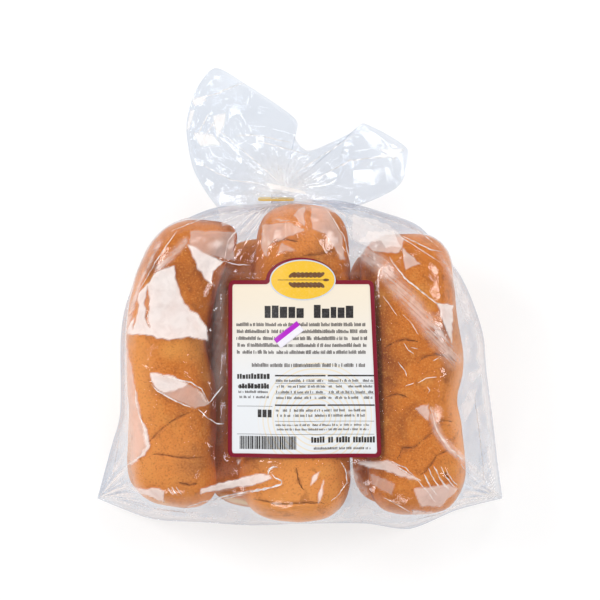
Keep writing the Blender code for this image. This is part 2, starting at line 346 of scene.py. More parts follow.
def put(tree, kind, inputs=(), out=0, **attributes):
    """Adds a node, sets its attributes, and fills its inputs, by name or in order, with values or
    other nodes' outputs. Gives one of its own outputs."""
    made = tree.nodes.new(kind)
    for name, value in attributes.items():
        setattr(made, name, value)
    for key, value in inputs.items() if isinstance(inputs, dict) else enumerate(inputs):
        if isinstance(value, bpy.types.NodeSocket):
            tree.links.new(value, made.inputs[key])
        else:
            made.inputs[key].default_value = value
    return made.outputs[out] if made.outputs else None


def new_material(name):
    """An empty material and its node tree."""
    made = bpy.data.materials.new(name)
    made.use_nodes = True
    made.node_tree.nodes.clear()
    return made, made.node_tree


def link_up(name, mesh, material):
    """An object at the origin that shows the mesh."""
    made = bpy.data.objects.new(name, mesh)
    bpy.context.scene.collection.objects.link(made)
    if material is not None:
        mesh.materials.clear()
        mesh.materials.append(material)
    return made


def paint_on(mesh, paint):
    """Stores numbers on the mesh's points, under their names."""
    for name, values in paint.items():
        stored = mesh.attributes.new(name, "FLOAT", "POINT")
        stored.data.foreach_set("value", np.asarray(values, np.float32).ravel())


def mesh_of(name, points, faces, paint=None):
    """A smooth mesh from arrays of points and faces, with numbers painted on its points."""
    made = bpy.data.meshes.new(name)
    corners = [list(map(int, face)) for face in faces]
    made.from_pydata(np.asarray(points, float).reshape(-1, 3).tolist(), [], corners)
    made.shade_smooth()
    paint_on(made, paint or {})
    return made


def grid_faces(rows, columns, wrapped=False):
    """Quads over a grid of points, row after row. A wrapped grid joins its last column to its first."""
    row, column = np.meshgrid(np.arange(rows - 1), np.arange(columns - (not wrapped)), indexing="ij")
    row, column = row.ravel(), column.ravel()
    after = (column + 1) % columns
    low, high = row * columns, (row + 1) * columns
    return np.stack([low + column, low + after, high + after, high + column], axis=1)


def finish_piece(piece, slot_name, *replaced):
    """Rides the piece on the part and hides the solids that it stands for. The name of its finish is not
    used.
    """
    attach(piece, "root")
    if replaced:
        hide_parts(*replaced)
    return piece


def film_piece(name, points, faces, paint, film):
    """One sheet of the bag's film."""
    finish_piece(link_up(name, mesh_of(name, points, faces, paint), film), "bread_under_film", "bag")


def thicken(sheet, thickness):
    """Gives a sheet that thickness below its face."""
    wall = sheet.modifiers.new("thickness", "SOLIDIFY")
    wall.thickness = thickness
    wall.offset = -1


def signed_power(value, power):
    return np.sign(value) * np.abs(value) ** power


def smooth_step(value, low, high):
    share = np.clip((value - low) / (high - low), 0, 1)
    return share * share * (3 - 2 * share)


def distance_to_line(x, y, line):
    """Distance from each x, y to a line of points, the share of the way along it, and the side."""
    points = np.array(line)[:, :2]
    steps = np.hypot(*np.diff(points, axis=0).T)
    before = np.concatenate([[0], np.cumsum(steps)])
    best = np.full(x.shape, np.inf)
    share = np.zeros(x.shape)
    side = np.ones(x.shape)
    for (ax, ay), (bx, by), start, step in zip(points, points[1:], before, steps):
        along = np.clip(((x - ax) * (bx - ax) + (y - ay) * (by - ay)) / step**2, 0, 1)
        gap = np.hypot(x - ax - along * (bx - ax), y - ay - along * (by - ay))
        nearer = gap < best
        best = np.where(nearer, gap, best)
        share = np.where(nearer, (start + along * step) / before[-1], share)
        side = np.where(nearer, np.sign((bx - ax) * (y - ay) - (by - ay) * (x - ax)), side)
    return best, share, side


def inside_outline(x, y, outline):
    """How far inside a closed outline each x, y lies. Outside it is negative."""
    closed = [*outline, outline[0]]
    gap, _, _ = distance_to_line(x, y, closed)
    crossings = np.zeros(x.shape, int)
    for (ax, ay), (bx, by) in zip(closed, closed[1:]):
        spans = (ay > y) != (by > y)
        if ay != by:
            crossings += spans & (x < (bx - ax) * (y - ay) / (by - ay) + ax)
    return np.where(crossings % 2 == 1, gap, -gap)


def rounded_outline(points, per_span=POINTS_PER_SPAN, tension=0.4, sharp=()):
    """A closed curve through the points, eased between neighbours except at the sharp ones."""
    knots = np.array(points)
    eased = np.array([0 if place in sharp else tension for place in range(len(knots))])
    slopes = eased[:, None] * (np.roll(knots, -1, axis=0) - np.roll(knots, 1, axis=0))
    curve = []
    spans = zip(knots, np.roll(knots, -1, axis=0), slopes, np.roll(slopes, -1, axis=0))
    for b, c, slope_in, slope_out in spans:
        for s in np.arange(per_span) / per_span:
            ends = (2 * s**3 - 3 * s**2 + 1) * b + (3 * s**2 - 2 * s**3) * c
            curve.append(ends + (s**3 - 2 * s**2 + s) * slope_in + (s**3 - s**2) * slope_out)
    return np.array(curve)


def along_line(points, shares):
    """The line of points read at those shares of its length."""
    steps = np.hypot(*np.diff(points[:, :2], axis=0).T)
    before = np.concatenate([[0], np.cumsum(steps)])
    places = shares * before[-1]
    return np.stack([np.interp(places, before, column) for column in points.T], axis=1)


def evenly(points, count):
    """The line of points read at evenly spaced places, ends included."""
    return along_line(points, np.linspace(0, 1, count))


def bow_shape(share):
    """A sideways bow of 1 at its strongest, two thirds of the way to the head."""
    return 27 / 4 * share**2 * (1 - share)


def roll_points(name, rings, sides):
    """Points of one roll, ring after ring from its foot to its head, and how far up each lies."""
    foot_x, foot_y, head_x, head_y, base, height, foot_half, head_half, bow = ROLLS[name]
    foot, head = np.array((foot_x, foot_y)), np.array((head_x, head_y))
    reach = math.hypot(*(head - foot))
    ahead = (head - foot) / reach
    right = np.array((ahead[1], -ahead[0]))
    along = reach / 2 * (1 - np.cos(np.linspace(0, math.pi, rings + 1)[1:-1]))[:, None]
    share = along / reach
    half = foot_half + (head_half - foot_half) * share
    past_end = np.clip(np.maximum(half - along, along - (reach - half)) / half, 0, 1)
    width = half * (1 - past_end**PLAN_POWER) ** (1 / PLAN_POWER)
    dome = (1 - past_end**SECTION_POWER) ** (1 / SECTION_POWER)
    turn = np.linspace(0, 2 * math.pi, sides, endpoint=False)[None, :]
    sideways = signed_power(np.cos(turn), 2 / SECTION_POWER)
    up = signed_power(np.sin(turn), 2 / SECTION_POWER)
    y_here = foot[1] + ahead[1] * along
    push = np.zeros((len(along), sides))
    for middle, span, left_push, right_push in SIDE_SWELLINGS.get(name, ()):
        near = np.exp(-(((y_here - middle) / span) ** 2))
        push = push + near * np.where(sideways > 0, right_push, left_push) * sideways
    across = width * sideways + push * (width / half) + bow * bow_shape(share)
    plan = foot + along[..., None] * ahead + across[..., None] * right
    rise = np.where(up > 0, (1 - WIDEST_SHARE) * dome * up, WIDEST_SHARE * dome * signed_power(up, 0.75))
    z = base + height * (WIDEST_SHARE + rise)
    return np.dstack([plan, z]), foot, head, base + height * WIDEST_SHARE


def roll_mesh(name, rings, sides):
    """A closed roll with broad lumps and its creases, and on its points how far up each lies, where its
    creases run, and its painted light and shade.
    """
    grid, foot, head, middle = roll_points(name, rings, sides)
    points = np.vstack([(*foot, middle), grid.reshape(-1, 3), (*head, middle)])
    faces = [tuple(f) for f in grid_faces(len(grid), sides, wrapped=True) + 1]
    last = len(points) - 1
    around = np.arange(sides)
    ring_start = last - sides
    faces += [(0, 1 + (k + 1) % sides, 1 + k) for k in around]
    faces += [(last, ring_start + k, ring_start + (k + 1) % sides) for k in around]
    made = mesh_of(name, points, faces)
    made.validate()
    normals = np.array([v.vector for v in made.vertex_normals])
    if (normals[:, 2] * (points[:, 2] - middle)).sum() < 0:
        made.flip_normals()
        normals = -normals
    lump = settings().bread.lump
    seed = Vector((len(name), foot[0] * 100, foot[1] * 100))
    spots = [Vector(p) for p in points.tolist()]
    swell = [sum(part * lump * noise.noise(p / size + seed) for part, size in CRUST_LUMPS) for p in spots]
    swell = np.array(swell)
    wander = np.array([0.7 * MM * noise.noise(p / 0.0035) for p in spots])
    crease = np.zeros(len(points))
    upper = smooth_step(normals[:, 2], 0.05, 0.35)
    for line in CRUST_CREASES.get(name, ()):
        gap, share, _ = distance_to_line(points[:, 0], points[:, 1], line)
        gap = np.abs(gap + wander)
        taper = smooth_step(share, -0.02, 0.18) * smooth_step(-share, -1.02, -0.82) * upper
        groove = np.exp(-((gap / CREASE_HALF_WIDTH) ** 2)) * taper
        lip = np.exp(-(((gap - 2.4 * CREASE_HALF_WIDTH) / CREASE_HALF_WIDTH) ** 2)) * taper
        swell = swell - CREASE_DEPTH * groove + CREASE_LIP * lip
        crease = np.maximum(crease, groove)
    points = points + normals * swell[:, None]
    base, height = ROLLS[name][4:6]
    points[:, 2] = np.maximum(points[:, 2], base)
    made.vertices.foreach_set("co", points.astype(np.float32).ravel())
    rise = (points[:, 2] - base) / height
    if name == "back_middle":
        rise -= 0.6 * smooth_step(-points[:, 1], 0.106, 0.120) * smooth_step(points[:, 2], 0.030, 0.046)
    # The tone is painted light and shade on the crust.
    tone = np.zeros(len(points))
    for x, y, across, along, amount in CRUST_LIGHT_AND_SHADE[name]:
        tone += amount * np.exp(-(((points[:, 0] - x) / across) ** 2) - ((points[:, 1] - y) / along) ** 2)
    paint_on(made, {"rise": rise, "crease": crease, "tone": tone})
    made.update()
    return made


def crust_material():
    """Soft baked crust, brushed and steamed: a satin brown skin, mottled where it browned unevenly, with
    painted light and shade on its sides and painted shade in its creases.
    """
    look = settings().bread
    made, tree = new_material("soft baked crust")
    place = put(tree, COORDINATES, out="Object")
    broad = put(tree, NOISE, {"Vector": place, "Scale": 1 / 0.034, "Distortion": 0.4})
    mottled = {"Vector": place, "Scale": 1 / 0.0075, "Detail": 3, "Roughness": 0.55, "Distortion": 0.3}
    mottle = put(tree, NOISE, mottled)
    grain = put(tree, NOISE, {"Vector": place, "Scale": 1 / look.pore, "Roughness": 0.6})
    # The tone is painted light and shade, stored on the rolls.
    tone = put(tree, PAINTED, out="Fac", attribute_name="tone")
    crease = put(tree, PAINTED, out="Fac", attribute_name="crease")
    rise = put(tree, PAINTED, out="Fac", attribute_name="rise")
    # The foot of a roll stays pale, with an uneven edge where the baking tray shaded it.
    wavy = put(tree, NOISE, {"Vector": place, "Scale": 1 / 0.012})
    foot = put(tree, MATH, (wavy, 0.22, rise), operation="MULTIPLY_ADD")
    groove = put(tree, MATH, (grain, -0.7, crease), operation="MULTIPLY_ADD")

    shade = put(tree, "ShaderNodeValToRGB", {"Fac": broad})
    stops = shade.node.color_ramp.elements
    browning = ((0.28, look.crust_dark_and_shade), (0.46, look.crust), (0.60, look.crust), (0.78, look.crust_light))
    while len(stops) < len(browning):
        stops.new(1.0)
    for stop, (position, brown) in zip(stops, browning):
        stop.position = position
        stop.color = brown
    # Each layer: its pattern, where in it the layer starts and is full, how, its most, its colour.
    layers = (
        # Painted light where the tone is above 0 and painted shade where it is below.
        (tone, 0.0, 1.0, "LINEAR", 1.0, look.crust_painted_light),
        (tone, 0.0, -1.0, "LINEAR", 1.0, look.crust_dark_and_shade),
        (mottle, 0.50, 0.85, "SMOOTHSTEP", 0.45, look.crust_light),
        (mottle, 0.46, 0.18, "SMOOTHSTEP", 0.60, look.crust_dark_and_shade),
        (grain, 0.52, 0.72, "SMOOTHSTEP", 0.42, look.crust_dark_and_shade),
        (grain, 0.46, 0.30, "SMOOTHSTEP", 0.50, look.crust_light),
        (foot, 0.42, 0.20, "SMOOTHSTEP", 1.0, look.crumb),
        # Darker brown along the creases: painted shade in them.
        (groove, -0.10, 0.45, "SMOOTHSTEP", 0.40, linear("#8A4A1C")),
    )
    for pattern, start, full, easing, most, brown in layers:
        share = put(tree, RANGE, (pattern, start, full, 0.0, most), interpolation_type=easing)
        shade = put(tree, MIX, {0: share, 6: shade, 7: tuple(brown)}, **IN_COLOUR)
    relief = put(tree, MATH, (grain, 0.6, mottle), operation="MULTIPLY_ADD")
    bump = put(tree, BUMP, {"Strength": 0.8, "Distance": 0.25 * MM, "Height": relief})
    gloss = put(tree, RANGE, {"Value": mottle, "To Min": 0.50, "To Max": 0.70})
    skin = {"Base Color": shade, "Roughness": gloss, "IOR": 1.45, "Specular IOR Level": 0.2, "Normal": bump}
    put(tree, OUTPUT, (put(tree, PRINCIPLED, skin),))
    return made


class BREADBAG_OT_rolls(bpy.types.Operator):
    """Makes the six hoagie rolls, three in front and three behind"""

    bl_idname = "bread_bag.rolls"
    bl_label = "Hoagie Rolls"

    def execute(self, context):
        crust = crust_material()
        for name in ROLLS:
            rings, sides = FRONT_ROLL_CELLS if name.startswith("front") else BACK_ROLL_CELLS
            roll = link_up("roll_" + name, roll_mesh(name, rings, sides), crust)
            finish_piece(roll, "bread_under_film", "bag")
        return {"FINISHED"}


class HeightField:
    """A height over a square grid, read between its points."""

    def __init__(self, values):
        self.values = values

    def at(self, x, y):
        column = np.clip((np.asarray(x) + GRID_REACH) / GRID_STEP, 0, self.values.shape[1] - 1.001)
        row = np.clip((np.asarray(y) + GRID_REACH) / GRID_STEP, 0, self.values.shape[0] - 1.001)
        left, low = column.astype(int), row.astype(int)
        right_share, up_share = column - left, row - low
        nearer, farther = (
            self.values[row, left] * (1 - right_share) + self.values[row, left + 1] * right_share
            for row in (low, low + 1)
        )
        return nearer * (1 - up_share) + farther * up_share


def mean_of_neighbours(field, times=1):
    for _ in range(times):
        field = sum(np.roll(field, shift, axis) for shift in (1, -1) for axis in (0, 1)) / 4
    return field


def grid_lines():
    line = np.arange(-GRID_REACH, GRID_REACH + GRID_STEP, GRID_STEP)
    return np.meshgrid(line, line)


class Edge:
    """An outline as a reach and a height for each direction from its heart."""

    def __init__(self, points, heart):
        curve = rounded_outline(points, sharp=(FOOT_LEFT, FOOT_RIGHT))
        self.heart = np.array(heart)
        spokes = curve[:, :2] - self.heart
        angle = np.arctan2(spokes[:, 1], spokes[:, 0])
        order = np.argsort(angle)
        self.angle = angle[order]
        self.reach = np.hypot(*spokes.T)[order]
        self.height = curve[order, 2]

    def at(self, x, y):
        """The share of the way out to the edge, and the edge's height that way."""
        angle = np.arctan2(y - self.heart[1], x - self.heart[0])
        reach = np.interp(angle, self.angle, self.reach, period=2 * math.pi)
        away = np.hypot(x - self.heart[0], y - self.heart[1])
        return away / reach, np.interp(angle, self.angle, self.height, period=2 * math.pi)


def skin_of(name):
    """The surface of a finished piece, ready to be searched."""
    mesh = bpy.data.objects[name].data
    return BVHTree.FromPolygons([v.co for v in mesh.vertices], [p.vertices for p in mesh.polygons])


@functools.lru_cache(maxsize=None)
def roll_skins():
    """The skin of each roll, ready to be searched."""
    return [skin_of("roll_" + name) for name in ROLLS]


def push_off_rolls(points, chosen, room):
    """Moves each chosen point that lies in a roll, or closer to one than that room, off its skin."""
    for place in zip(*np.nonzero(chosen)):
        spot = Vector(points[place])
        for skin in roll_skins():
            near, outwards, _, _ = skin.find_nearest(spot, ROLL_SEARCH)
            if near is not None and (spot - near).dot(outwards) < room:
                spot = near + outwards * room
        points[place] = spot


@functools.lru_cache(maxsize=None)
def rolls_seen_from(direction):
    """Heights where a plumb line first meets the rolls, from above (1) or below (-1), else None."""
    x, y = grid_lines()
    start, down = 0.2 * direction, Vector((0, 0, -direction))
    found = np.full(x.shape, np.nan)
    for tree in roll_skins():
        for row in range(x.shape[0]):
            for column in range(x.shape[1]):
                hit = tree.ray_cast(Vector((x[row, column], y[row, column], start)), down)[0]
                if hit is not None:
                    z = hit.z
                    known = found[row, column]
                    if known != known or (z - known) * direction > 0:
                        found[row, column] = z
    return found


@functools.lru_cache(maxsize=None)
def slack_film(direction):
    """The film above (1) or below (-1) the rolls, as a slack sheet held up or down by them."""
    x, y = grid_lines()
    share, rim = Edge(BODY_EDGE, BODY_HEART).at(x, y)
    inside = share < 1
    crust = rolls_seen_from(direction)
    outer = np.maximum if direction > 0 else np.minimum
    held = np.where(np.isnan(crust), -direction, crust + direction * FILM_OVER_CRUST)
    film = np.where(inside, outer(held, rim), rim)
    for _ in range(RELAX_STEPS):
        film = np.where(inside, outer(held, mean_of_neighbours(film)), rim)
    film = mean_of_neighbours(np.maximum(film, 0.0), 3)
    return HeightField(film)


@functools.lru_cache(maxsize=None)
def slackness():
    """1 where the film hangs free of the crust, 0 where it lies tight on it."""
    crust = rolls_seen_from(1)
    gap = np.where(np.isnan(crust), 0.02, slack_film(1).values - crust)
    return HeightField(mean_of_neighbours(smooth_step(gap, 1.2 * MM, 7 * MM), 4))


@functools.lru_cache(maxsize=None)
def bareness():
    """1 where no roll lies under the film, 0 where one does."""
    return HeightField(mean_of_neighbours(np.isnan(rolls_seen_from(1)).astype(float), 5))


def beside_label(x, y):
    """0 under the label, rising to 1 a little way outside it."""
    return smooth_step(-inside_outline(x, y, label_outline()), 0.3 * MM, 4.5 * MM)


def off_tag(x, y):
    """Near 0 where the film lies clear against the closure tag, 1 away from it."""
    across, up = (x - TAG_PLACE[0]) / TAG_REACH[0], (y - TAG_PLACE[1]) / TAG_REACH[1]
    return 1 - 0.9 * np.exp(-(across**4) - up**4)


def crumpled(seed, spacing, x, y):
    """Flat facets between random peaks, from 0 to 1, at each x, y."""
    rng = np.random.default_rng(seed)
    line = np.arange(-GRID_REACH, GRID_REACH, spacing)
    grid_x, grid_y = np.meshgrid(line, line)
    places = np.stack([grid_x.ravel(), grid_y.ravel()], axis=1)
    places += rng.uniform(-0.46, 0.46, places.shape) * spacing
    heights = rng.random(len(places)) ** 1.4
    found = geometry.delaunay_2d_cdt([Vector(p) for p in places.tolist()], [], [], 0, 1e-7)
    tree = BVHTree.FromPolygons(
        [(px, py, heights[k[0]] if k else 0.0) for (px, py), k in zip(found[0], found[3])], found[2]
    )
    down = Vector((0, 0, -1))
    flat_x, flat_y = np.ravel(x).tolist(), np.ravel(y).tolist()
    rises = [tree.ray_cast(Vector((px, py, 2)), down)[0] for px, py in zip(flat_x, flat_y)]
    return np.array([r.z if r is not None else 0.0 for r in rises]).reshape(np.shape(x))


def gathers(x, y, centre, reach, count, seed):
    """Tent-shaped folds that run in to a centre, from 0 to 1, fading with distance from it."""
    rng = np.random.default_rng(seed)
    away = np.hypot(x - centre[0], y - centre[1])
    angle = np.arctan2(y - centre[1], x - centre[0])
    folds = np.zeros(np.shape(x))
    for _ in range(3):
        beat = count * rng.uniform(0.55, 1.25)
        phase, drift = rng.uniform(0, math.pi), rng.uniform(-6, 6)
        folds += rng.uniform(0.4, 1.0) * (1 - np.abs(np.sin(beat * angle / 2 + phase + drift * away)))
    return folds / 2 * np.exp(-((away / reach) ** 2))


# Lines in tenths of a millimetre that folds, bands and sharp creases share.
STEP_FOLD = traced(-870, -423, -806, -435, -690, -464, -632, -476, -568, -516, -528, -597)
UNDER_STEP_FOLD = traced(-858, -487, -824, -528, -748, -568, -667, -609, -632, -620)
LEFT_SHOULDER_FOLD = traced(-713, 406, -830, 230, -945, 40)
FOOT_FOLD = traced(-690, -1224, -568, -1177, -452, -1172, -290, -1125)
RIGHT_SHOULDER_FOLD = traced(592, 377, 766, 290, 829, 284)
RIGHT_CORNER_FOLD = traced(754, -615, 789, -748, 824, -806, 887, -876, 957, -934, 1148, -1114)
SHORT_FOLD = traced(528, -934, 609, -969, 661, -1020)

# Folds of the film over the pack: points, then in millimetres the height and how far the tent
# reaches to its left and its right.
FILM_FOLDS = (
    (STEP_FOLD, 1.6, 6, 3),
    (UNDER_STEP_FOLD, 1.4, 4, 5),
    (LEFT_SHOULDER_FOLD, 1.8, 6, 6),
    (traced(-650, 325, -592, 186, -551, 122, -516, 104), 1.6, 7, 5),
    (traced(-447, 226, -290, 203), 1.2, 5, 5),
    (traced(-1020, -203, -899, -203, -754, -232, -679, -215, -534, -232), 1.5, 8, 3),
    (traced(-893, -70, -882, -157, -858, -157), 0.9, 3, 3),
    (traced(-713, -1114, -568, -1108, -290, -1038), 1.8, 4, 4),
    (FOOT_FOLD, 1.5, 4, 4),
    (traced(-1070, -1108, -893, -1096, -789, -1114, -795, -1183), 1.6, 5, 3),
    (traced(516, 255, 545, 203, 609, 122, 719, 35, 789, -17, 893, -29), 1.7, 6, 5),
    (traced(313, 325, 500, 180, 700, -100, 934, -400), 1.5, 6, 6),
    (RIGHT_SHOULDER_FOLD, 1.5, 5, 5),
    (traced(609, 174, 592, 300, 580, 400), 1.2, 5, 5),
    (RIGHT_CORNER_FOLD, 1.9, 6, 5),
    (SHORT_FOLD, 1.0, 4, 4),
    (traced(487, -1148, 650, -1241), 1.3, 4, 4),
    (traced(893, -30, 882, -255), 1.2, 5, 4),
    (traced(840, -1060, 980, -1180, 1160, -1190), 1.6, 6, 5),
    (traced(-920, -680, -890, -850, -1040, -990), 1.5, 5, 4),
)

# Patches of painted glare, where the film would mirror the lights, and of creased white film: outline in
# tenths of a millimetre, how white.
FILM_GLARE_PATCHES = (
    (
        traced(
            -1035, -231, -1017, -220, -954, -520, -919, -694, -884, -844, -936, -913, -1000, -983,
            -1029, -809, -1046, -520,
        ),
        0.45,
    ),
    (
        traced(
            -217, 439, -144, 445, -46, 448, 35, 405, -12, 384, -64, 370, -116, 347, -144, 355,
            -179, 312, -191, 280, -182, 251, -208, 257, -225, 318, -225, 387,
        ),
        0.36,
    ),
    (traced(-107, 338, -20, 283, -58, 280, -130, 272), 0.32),
    (traced(-159, 471, -92, 468, -29, 460, -110, 451), 0.34),
    (traced(-35, 491, -20, 520, 35, 558, 23, 509, 29, 428, -9, 454), 0.38),
    (traced(64, 549, 136, 555, 185, 491, 243, 376, 260, 231, 231, 231, 202, 298, 144, 384, 69, 413), 0.34),
    (
        traced(
            -578, -1098, -387, -1052, -260, -1011, -182, -1009, -162, -1035, -240, -1069, -370, -1095,
            -578, -1127,
        ),
        0.86,
    ),
    (traced(-376, -919, -341, -922, -353, -957), 0.85),
    (traced(58, -1078, 69, -1029, 116, -988, 98, -1040), 0.82),
    (traced(104, -1185, 107, -1127, 139, -1040, 133, -1127), 0.82),
    (traced(306, 503, 416, 486, 532, 439, 613, 358, 572, 272, 439, 283, 301, 358), 0.50),
    (
        traced(
            -497, 549, -220, 601, 0, 607, 173, 561, 260, 497, 0, 555, -220, 543, -347, 451, -451, 428,
        ),
        0.34,
    ),
    (
        traced(
            -830, 162, -730, 197, -708, 93, -690, 23, -638, -58, -603, -75, -545, -151, -534, -232,
            -626, -215, -679, -215, -754, -232, -899, -203, -1020, -203, -1015, -174, -945, -70,
            -945, 29, -887, 87,
        ),
        0.92,
    ),
    (traced(-650, 325, -447, 220, -505, 168, -516, 104, -493, 81, -551, 122, -592, 186, -632, 273), 0.94),
    (traced(-640, 406, -383, 400, -380, 230, -460, 240, -630, 300), 0.30),
    (
        traced(
            -867, -425, -809, -425, -740, -439, -642, -486, -688, -509, -757, -532, -809, -532,
            -850, -491,
        ),
        0.88,
    ),
    (
        traced(
            -803, -532, -717, -497, -636, -486, -572, -538, -526, -601, -601, -630, -694, -590,
            -763, -561,
        ),
        0.34,
    ),
    (traced(-601, -509, -555, -549, -526, -601, -561, -578), 0.60),
    (
        traced(
            -957, -522, -934, -684, -882, -748, -870, -847, -900, -900, -1044, -992, -928, -900,
            -900, -847, -915, -748, -951, -609,
        ),
        0.75,
    ),
    (
        traced(
            -1044, -1108, -893, -1096, -818, -1090, -789, -1114, -795, -1183, -824, -1166, -893, -1137,
            -974, -1131,
        ),
        0.80,
    ),
    (traced(342, 336, 400, 406, 545, 406, 586, 307, 499, 307, 470, 342), 0.80),
    (traced(586, 307, 609, 174, 696, 209), 0.42),
    (traced(789, -17, 893, -29, 882, -255), 0.85),
    (traced(661, -626, 742, -603, 748, -702), 0.50),
    (traced(306, -931, 532, -931, 572, -971, 699, -1046, 607, -1029, 491, -988, 376, -965), 0.62),
    (traced(410, -1006, 555, -1064, 532, -1133, 416, -1075), 0.26),
    (traced(660, -1090, 860, -1067, 920, -1100, 820, -1206, 700, -1200), 0.55),
    (traced(650, -1224, 777, -1236, 760, -1259, 660, -1255), 0.80),
)

# Slits in the white patches where the film lies flat.
FILM_SLITS = (
    traced(-884, 81, -870, 0, -879, -75, -870, -162, -896, -104, -899, -12),
    traced(-948, 0, -931, -29, -959, -127, -977, -173),
)

# Milky bands of film, partly painted glare on its fine wrinkles: points, width in millimetres and how white.
FILM_BANDS = (
    (traced(-439, 220, -451, -173, -457, -578), 10.0, 0.14),
    (traced(-644, 360, -835, 162), 4.6, 0.35),
    (traced(-806, 360, -930, 130, -1020, -180), 3.5, 0.50),
    (traced(313, 325, 480, 190, 700, -90, 934, -400), 10.0, 0.38),
    (RIGHT_CORNER_FOLD, 4.5, 0.45),
    (traced(830, 300, 930, 80, 1020, -150), 7.0, 0.34),
    (traced(290, -980, 390, -1150), 5.0, 0.30),
)

# Sharp white creases, whose white is doubled film and a painted glint along the fold: points, and width as a
# multiple of the usual crease.
SHARP_CREASES = (
    (traced(740, -971, 775, -1040, 815, -1092), 1.2),
    (traced(775, -959, 815, -1040, 867, -1104), 1.6),
    (traced(815, -965, 844, -1023, 902, -1092), 1.0),
    (traced(717, -1006, 751, -1075, 798, -1133), 1.3),
    (traced(844, -983, 879, -1040, 919, -1081), 0.9),
    (traced(665, -1029, 740, -1110, 786, -1173), 1.2),
    (traced(532, -936, 601, -988, 699, -1046), 1.2),
    (traced(-185, -1017, -179, -983, -156, -965, -127, -968), 2.0),
    (
        traced(
            -165, -1006, -144, -1032, -107, -1043, -110, -1064, -162, -1084, -289, -1116, -433, -1150,
            -549, -1179,
        ),
        2.2,
    ),
    (traced(237, -936, 266, -983, 272, -1058, 231, -1127, 179, -1173), 1.0),
    (traced(92, 578, 173, 561, 260, 497, 301, 347), 1.3),
    (traced(156, 532, 260, 364, 289, 220), 1.0),
    (traced(231, 555, 405, 514, 694, 410, 809, 306), 0.9),
    (traced(260, 514, 549, 393, 809, 220), 0.9),
    (traced(-220, 549, -347, 497, -451, 451), 0.9),
    (traced(-289, 543, -549, 486, -751, 399), 0.9),
    (traced(-202, 543, -289, 503, -416, 347, -439, 220), 1.0),
    (traced(-1168, -1144, -1040, -988), 1.0),
    (traced(-1156, -1179, -896, -1243, -636, -1266), 1.0),
    (traced(-1150, -1121, -1087, -809), 0.8),
    (traced(1127, -1144, 1000, -1040, 936, -954), 1.0),
    (traced(1116, -1191, 925, -1243, 694, -1312), 1.0),
    (traced(1116, -1127, 1081, -838, 1040, -549), 0.9),
    (LEFT_SHOULDER_FOLD, 1.0),
    (STEP_FOLD, 1.3),
    (UNDER_STEP_FOLD, 1.4),
    (traced(-592, -632, -534, -684, -487, -713, -440, -719), 1.2),
    (traced(-528, -597, -450, -500), 1.0),
    (traced(-957, -522, -951, -609, -928, -684, -899, -748, -882, -847, -928, -910, -1044, -992), 1.6),
    (FOOT_FOLD, 1.2),
    (traced(-766, -1085, -735, -1130), 0.8),
    (traced(-742, -1080, -711, -1135), 0.8),
    (traced(-717, -1080, -686, -1128), 0.8),
    (traced(-447, 226, -370, 205, -290, 203), 0.9),
    (traced(516, 255, 545, 203, 609, 122, 719, 35, 789, -17, 829, -35, 893, -29), 1.4),
    (RIGHT_SHOULDER_FOLD, 1.1),
    (traced(481, 23, 520, -30, 563, -93), 0.7),
    (traced(592, -81, 640, -130, 684, -197), 0.7),
    (RIGHT_CORNER_FOLD, 1.2),
    (SHORT_FOLD, 1.0),
    (traced(487, -1148, 565, -1190, 650, -1241), 0.9),
    (traced(725, -1015, 760, -1085), 0.8),
    (traced(760, -1010, 800, -1080), 0.8),
    (traced(800, -1015, 842, -1085), 0.8),
    (traced(735, -500, 752, -520, 742, -536), 0.9),
    (traced(601, -249, 624, -289, 659, -312), 0.9),
    (traced(642, -272, 682, -283), 0.8),
    (traced(566, -358, 607, -410, 618, -445), 0.9),
    (traced(682, -480, 734, -451, 792, -445), 0.8),
    (traced(607, -497, 659, -480), 0.8),
    (traced(769, -353, 803, -335), 0.7),
)


def shaken(x, y, reach, size):
    """x and y moved about by soft noise, so that edges drawn with them are ragged."""
    spots = zip(np.ravel(x).tolist(), np.ravel(y).tolist())
    moves = np.array([noise.noise_vector(Vector((a, b, 0)) / size)[:2] for a, b in spots])
    return x + reach * moves[:, 0].reshape(np.shape(x)), y + reach * moves[:, 1].reshape(np.shape(y))


def patched(white, x, y, patches):
    """How white the film is once the patches of painted glare and creased white are painted on it."""
    for outline, level in patches:
        inside = smooth_step(inside_outline(x, y, outline), -0.45 * MM, 0.45 * MM)
        white = np.maximum(white, level * inside)
    return white


def painted_glare_and_milk(x, y):
    """How solidly white and how white in streaks the film is at each x, y: painted glare where it would
    mirror the lights, and the milk of its creases.
    """
    white, streaked = np.zeros(np.shape(x)), np.zeros(np.shape(x))
    x, y = shaken(x, y, 0.9 * MM, 3.5 * MM)
    white = patched(white, x, y, FILM_GLARE_PATCHES)
    for outline in FILM_SLITS:
        white *= 1 - 0.9 * smooth_step(inside_outline(x, y, outline), -0.5 * MM, 0.3 * MM)
    for line, width, level in FILM_BANDS:
        gap, share, _ = distance_to_line(x, y, line)
        ends = smooth_step(share, -0.01, 0.08) * smooth_step(-share, -1.01, -0.92)
        near = smooth_step(-gap, -0.8 * width * MM, -0.1 * width * MM)
        streaked = np.maximum(streaked, level * ends * near)
    return white, streaked


def ridge_glints_and_valley_shade(z, sharp):
    """How white each ridge and how dim each valley of a sheet is, from its bend over one cell: a painted
    highlight along the ridges and painted shade in the valleys.
    """
    bend = mean_of_neighbours(z) - z
    bend[[0, -1], :] = 0
    bend[:, [0, -1]] = 0
    return smooth_step(-bend, 0.25 * sharp, sharp), smooth_step(bend, 0.25 * sharp, sharp)


def slopes(x, y, z):
    """How steeply a sheet of points climbs across and up the pack."""
    return np.gradient(z, axis=1) / np.gradient(x, axis=1), np.gradient(z, axis=0) / np.gradient(y, axis=0)


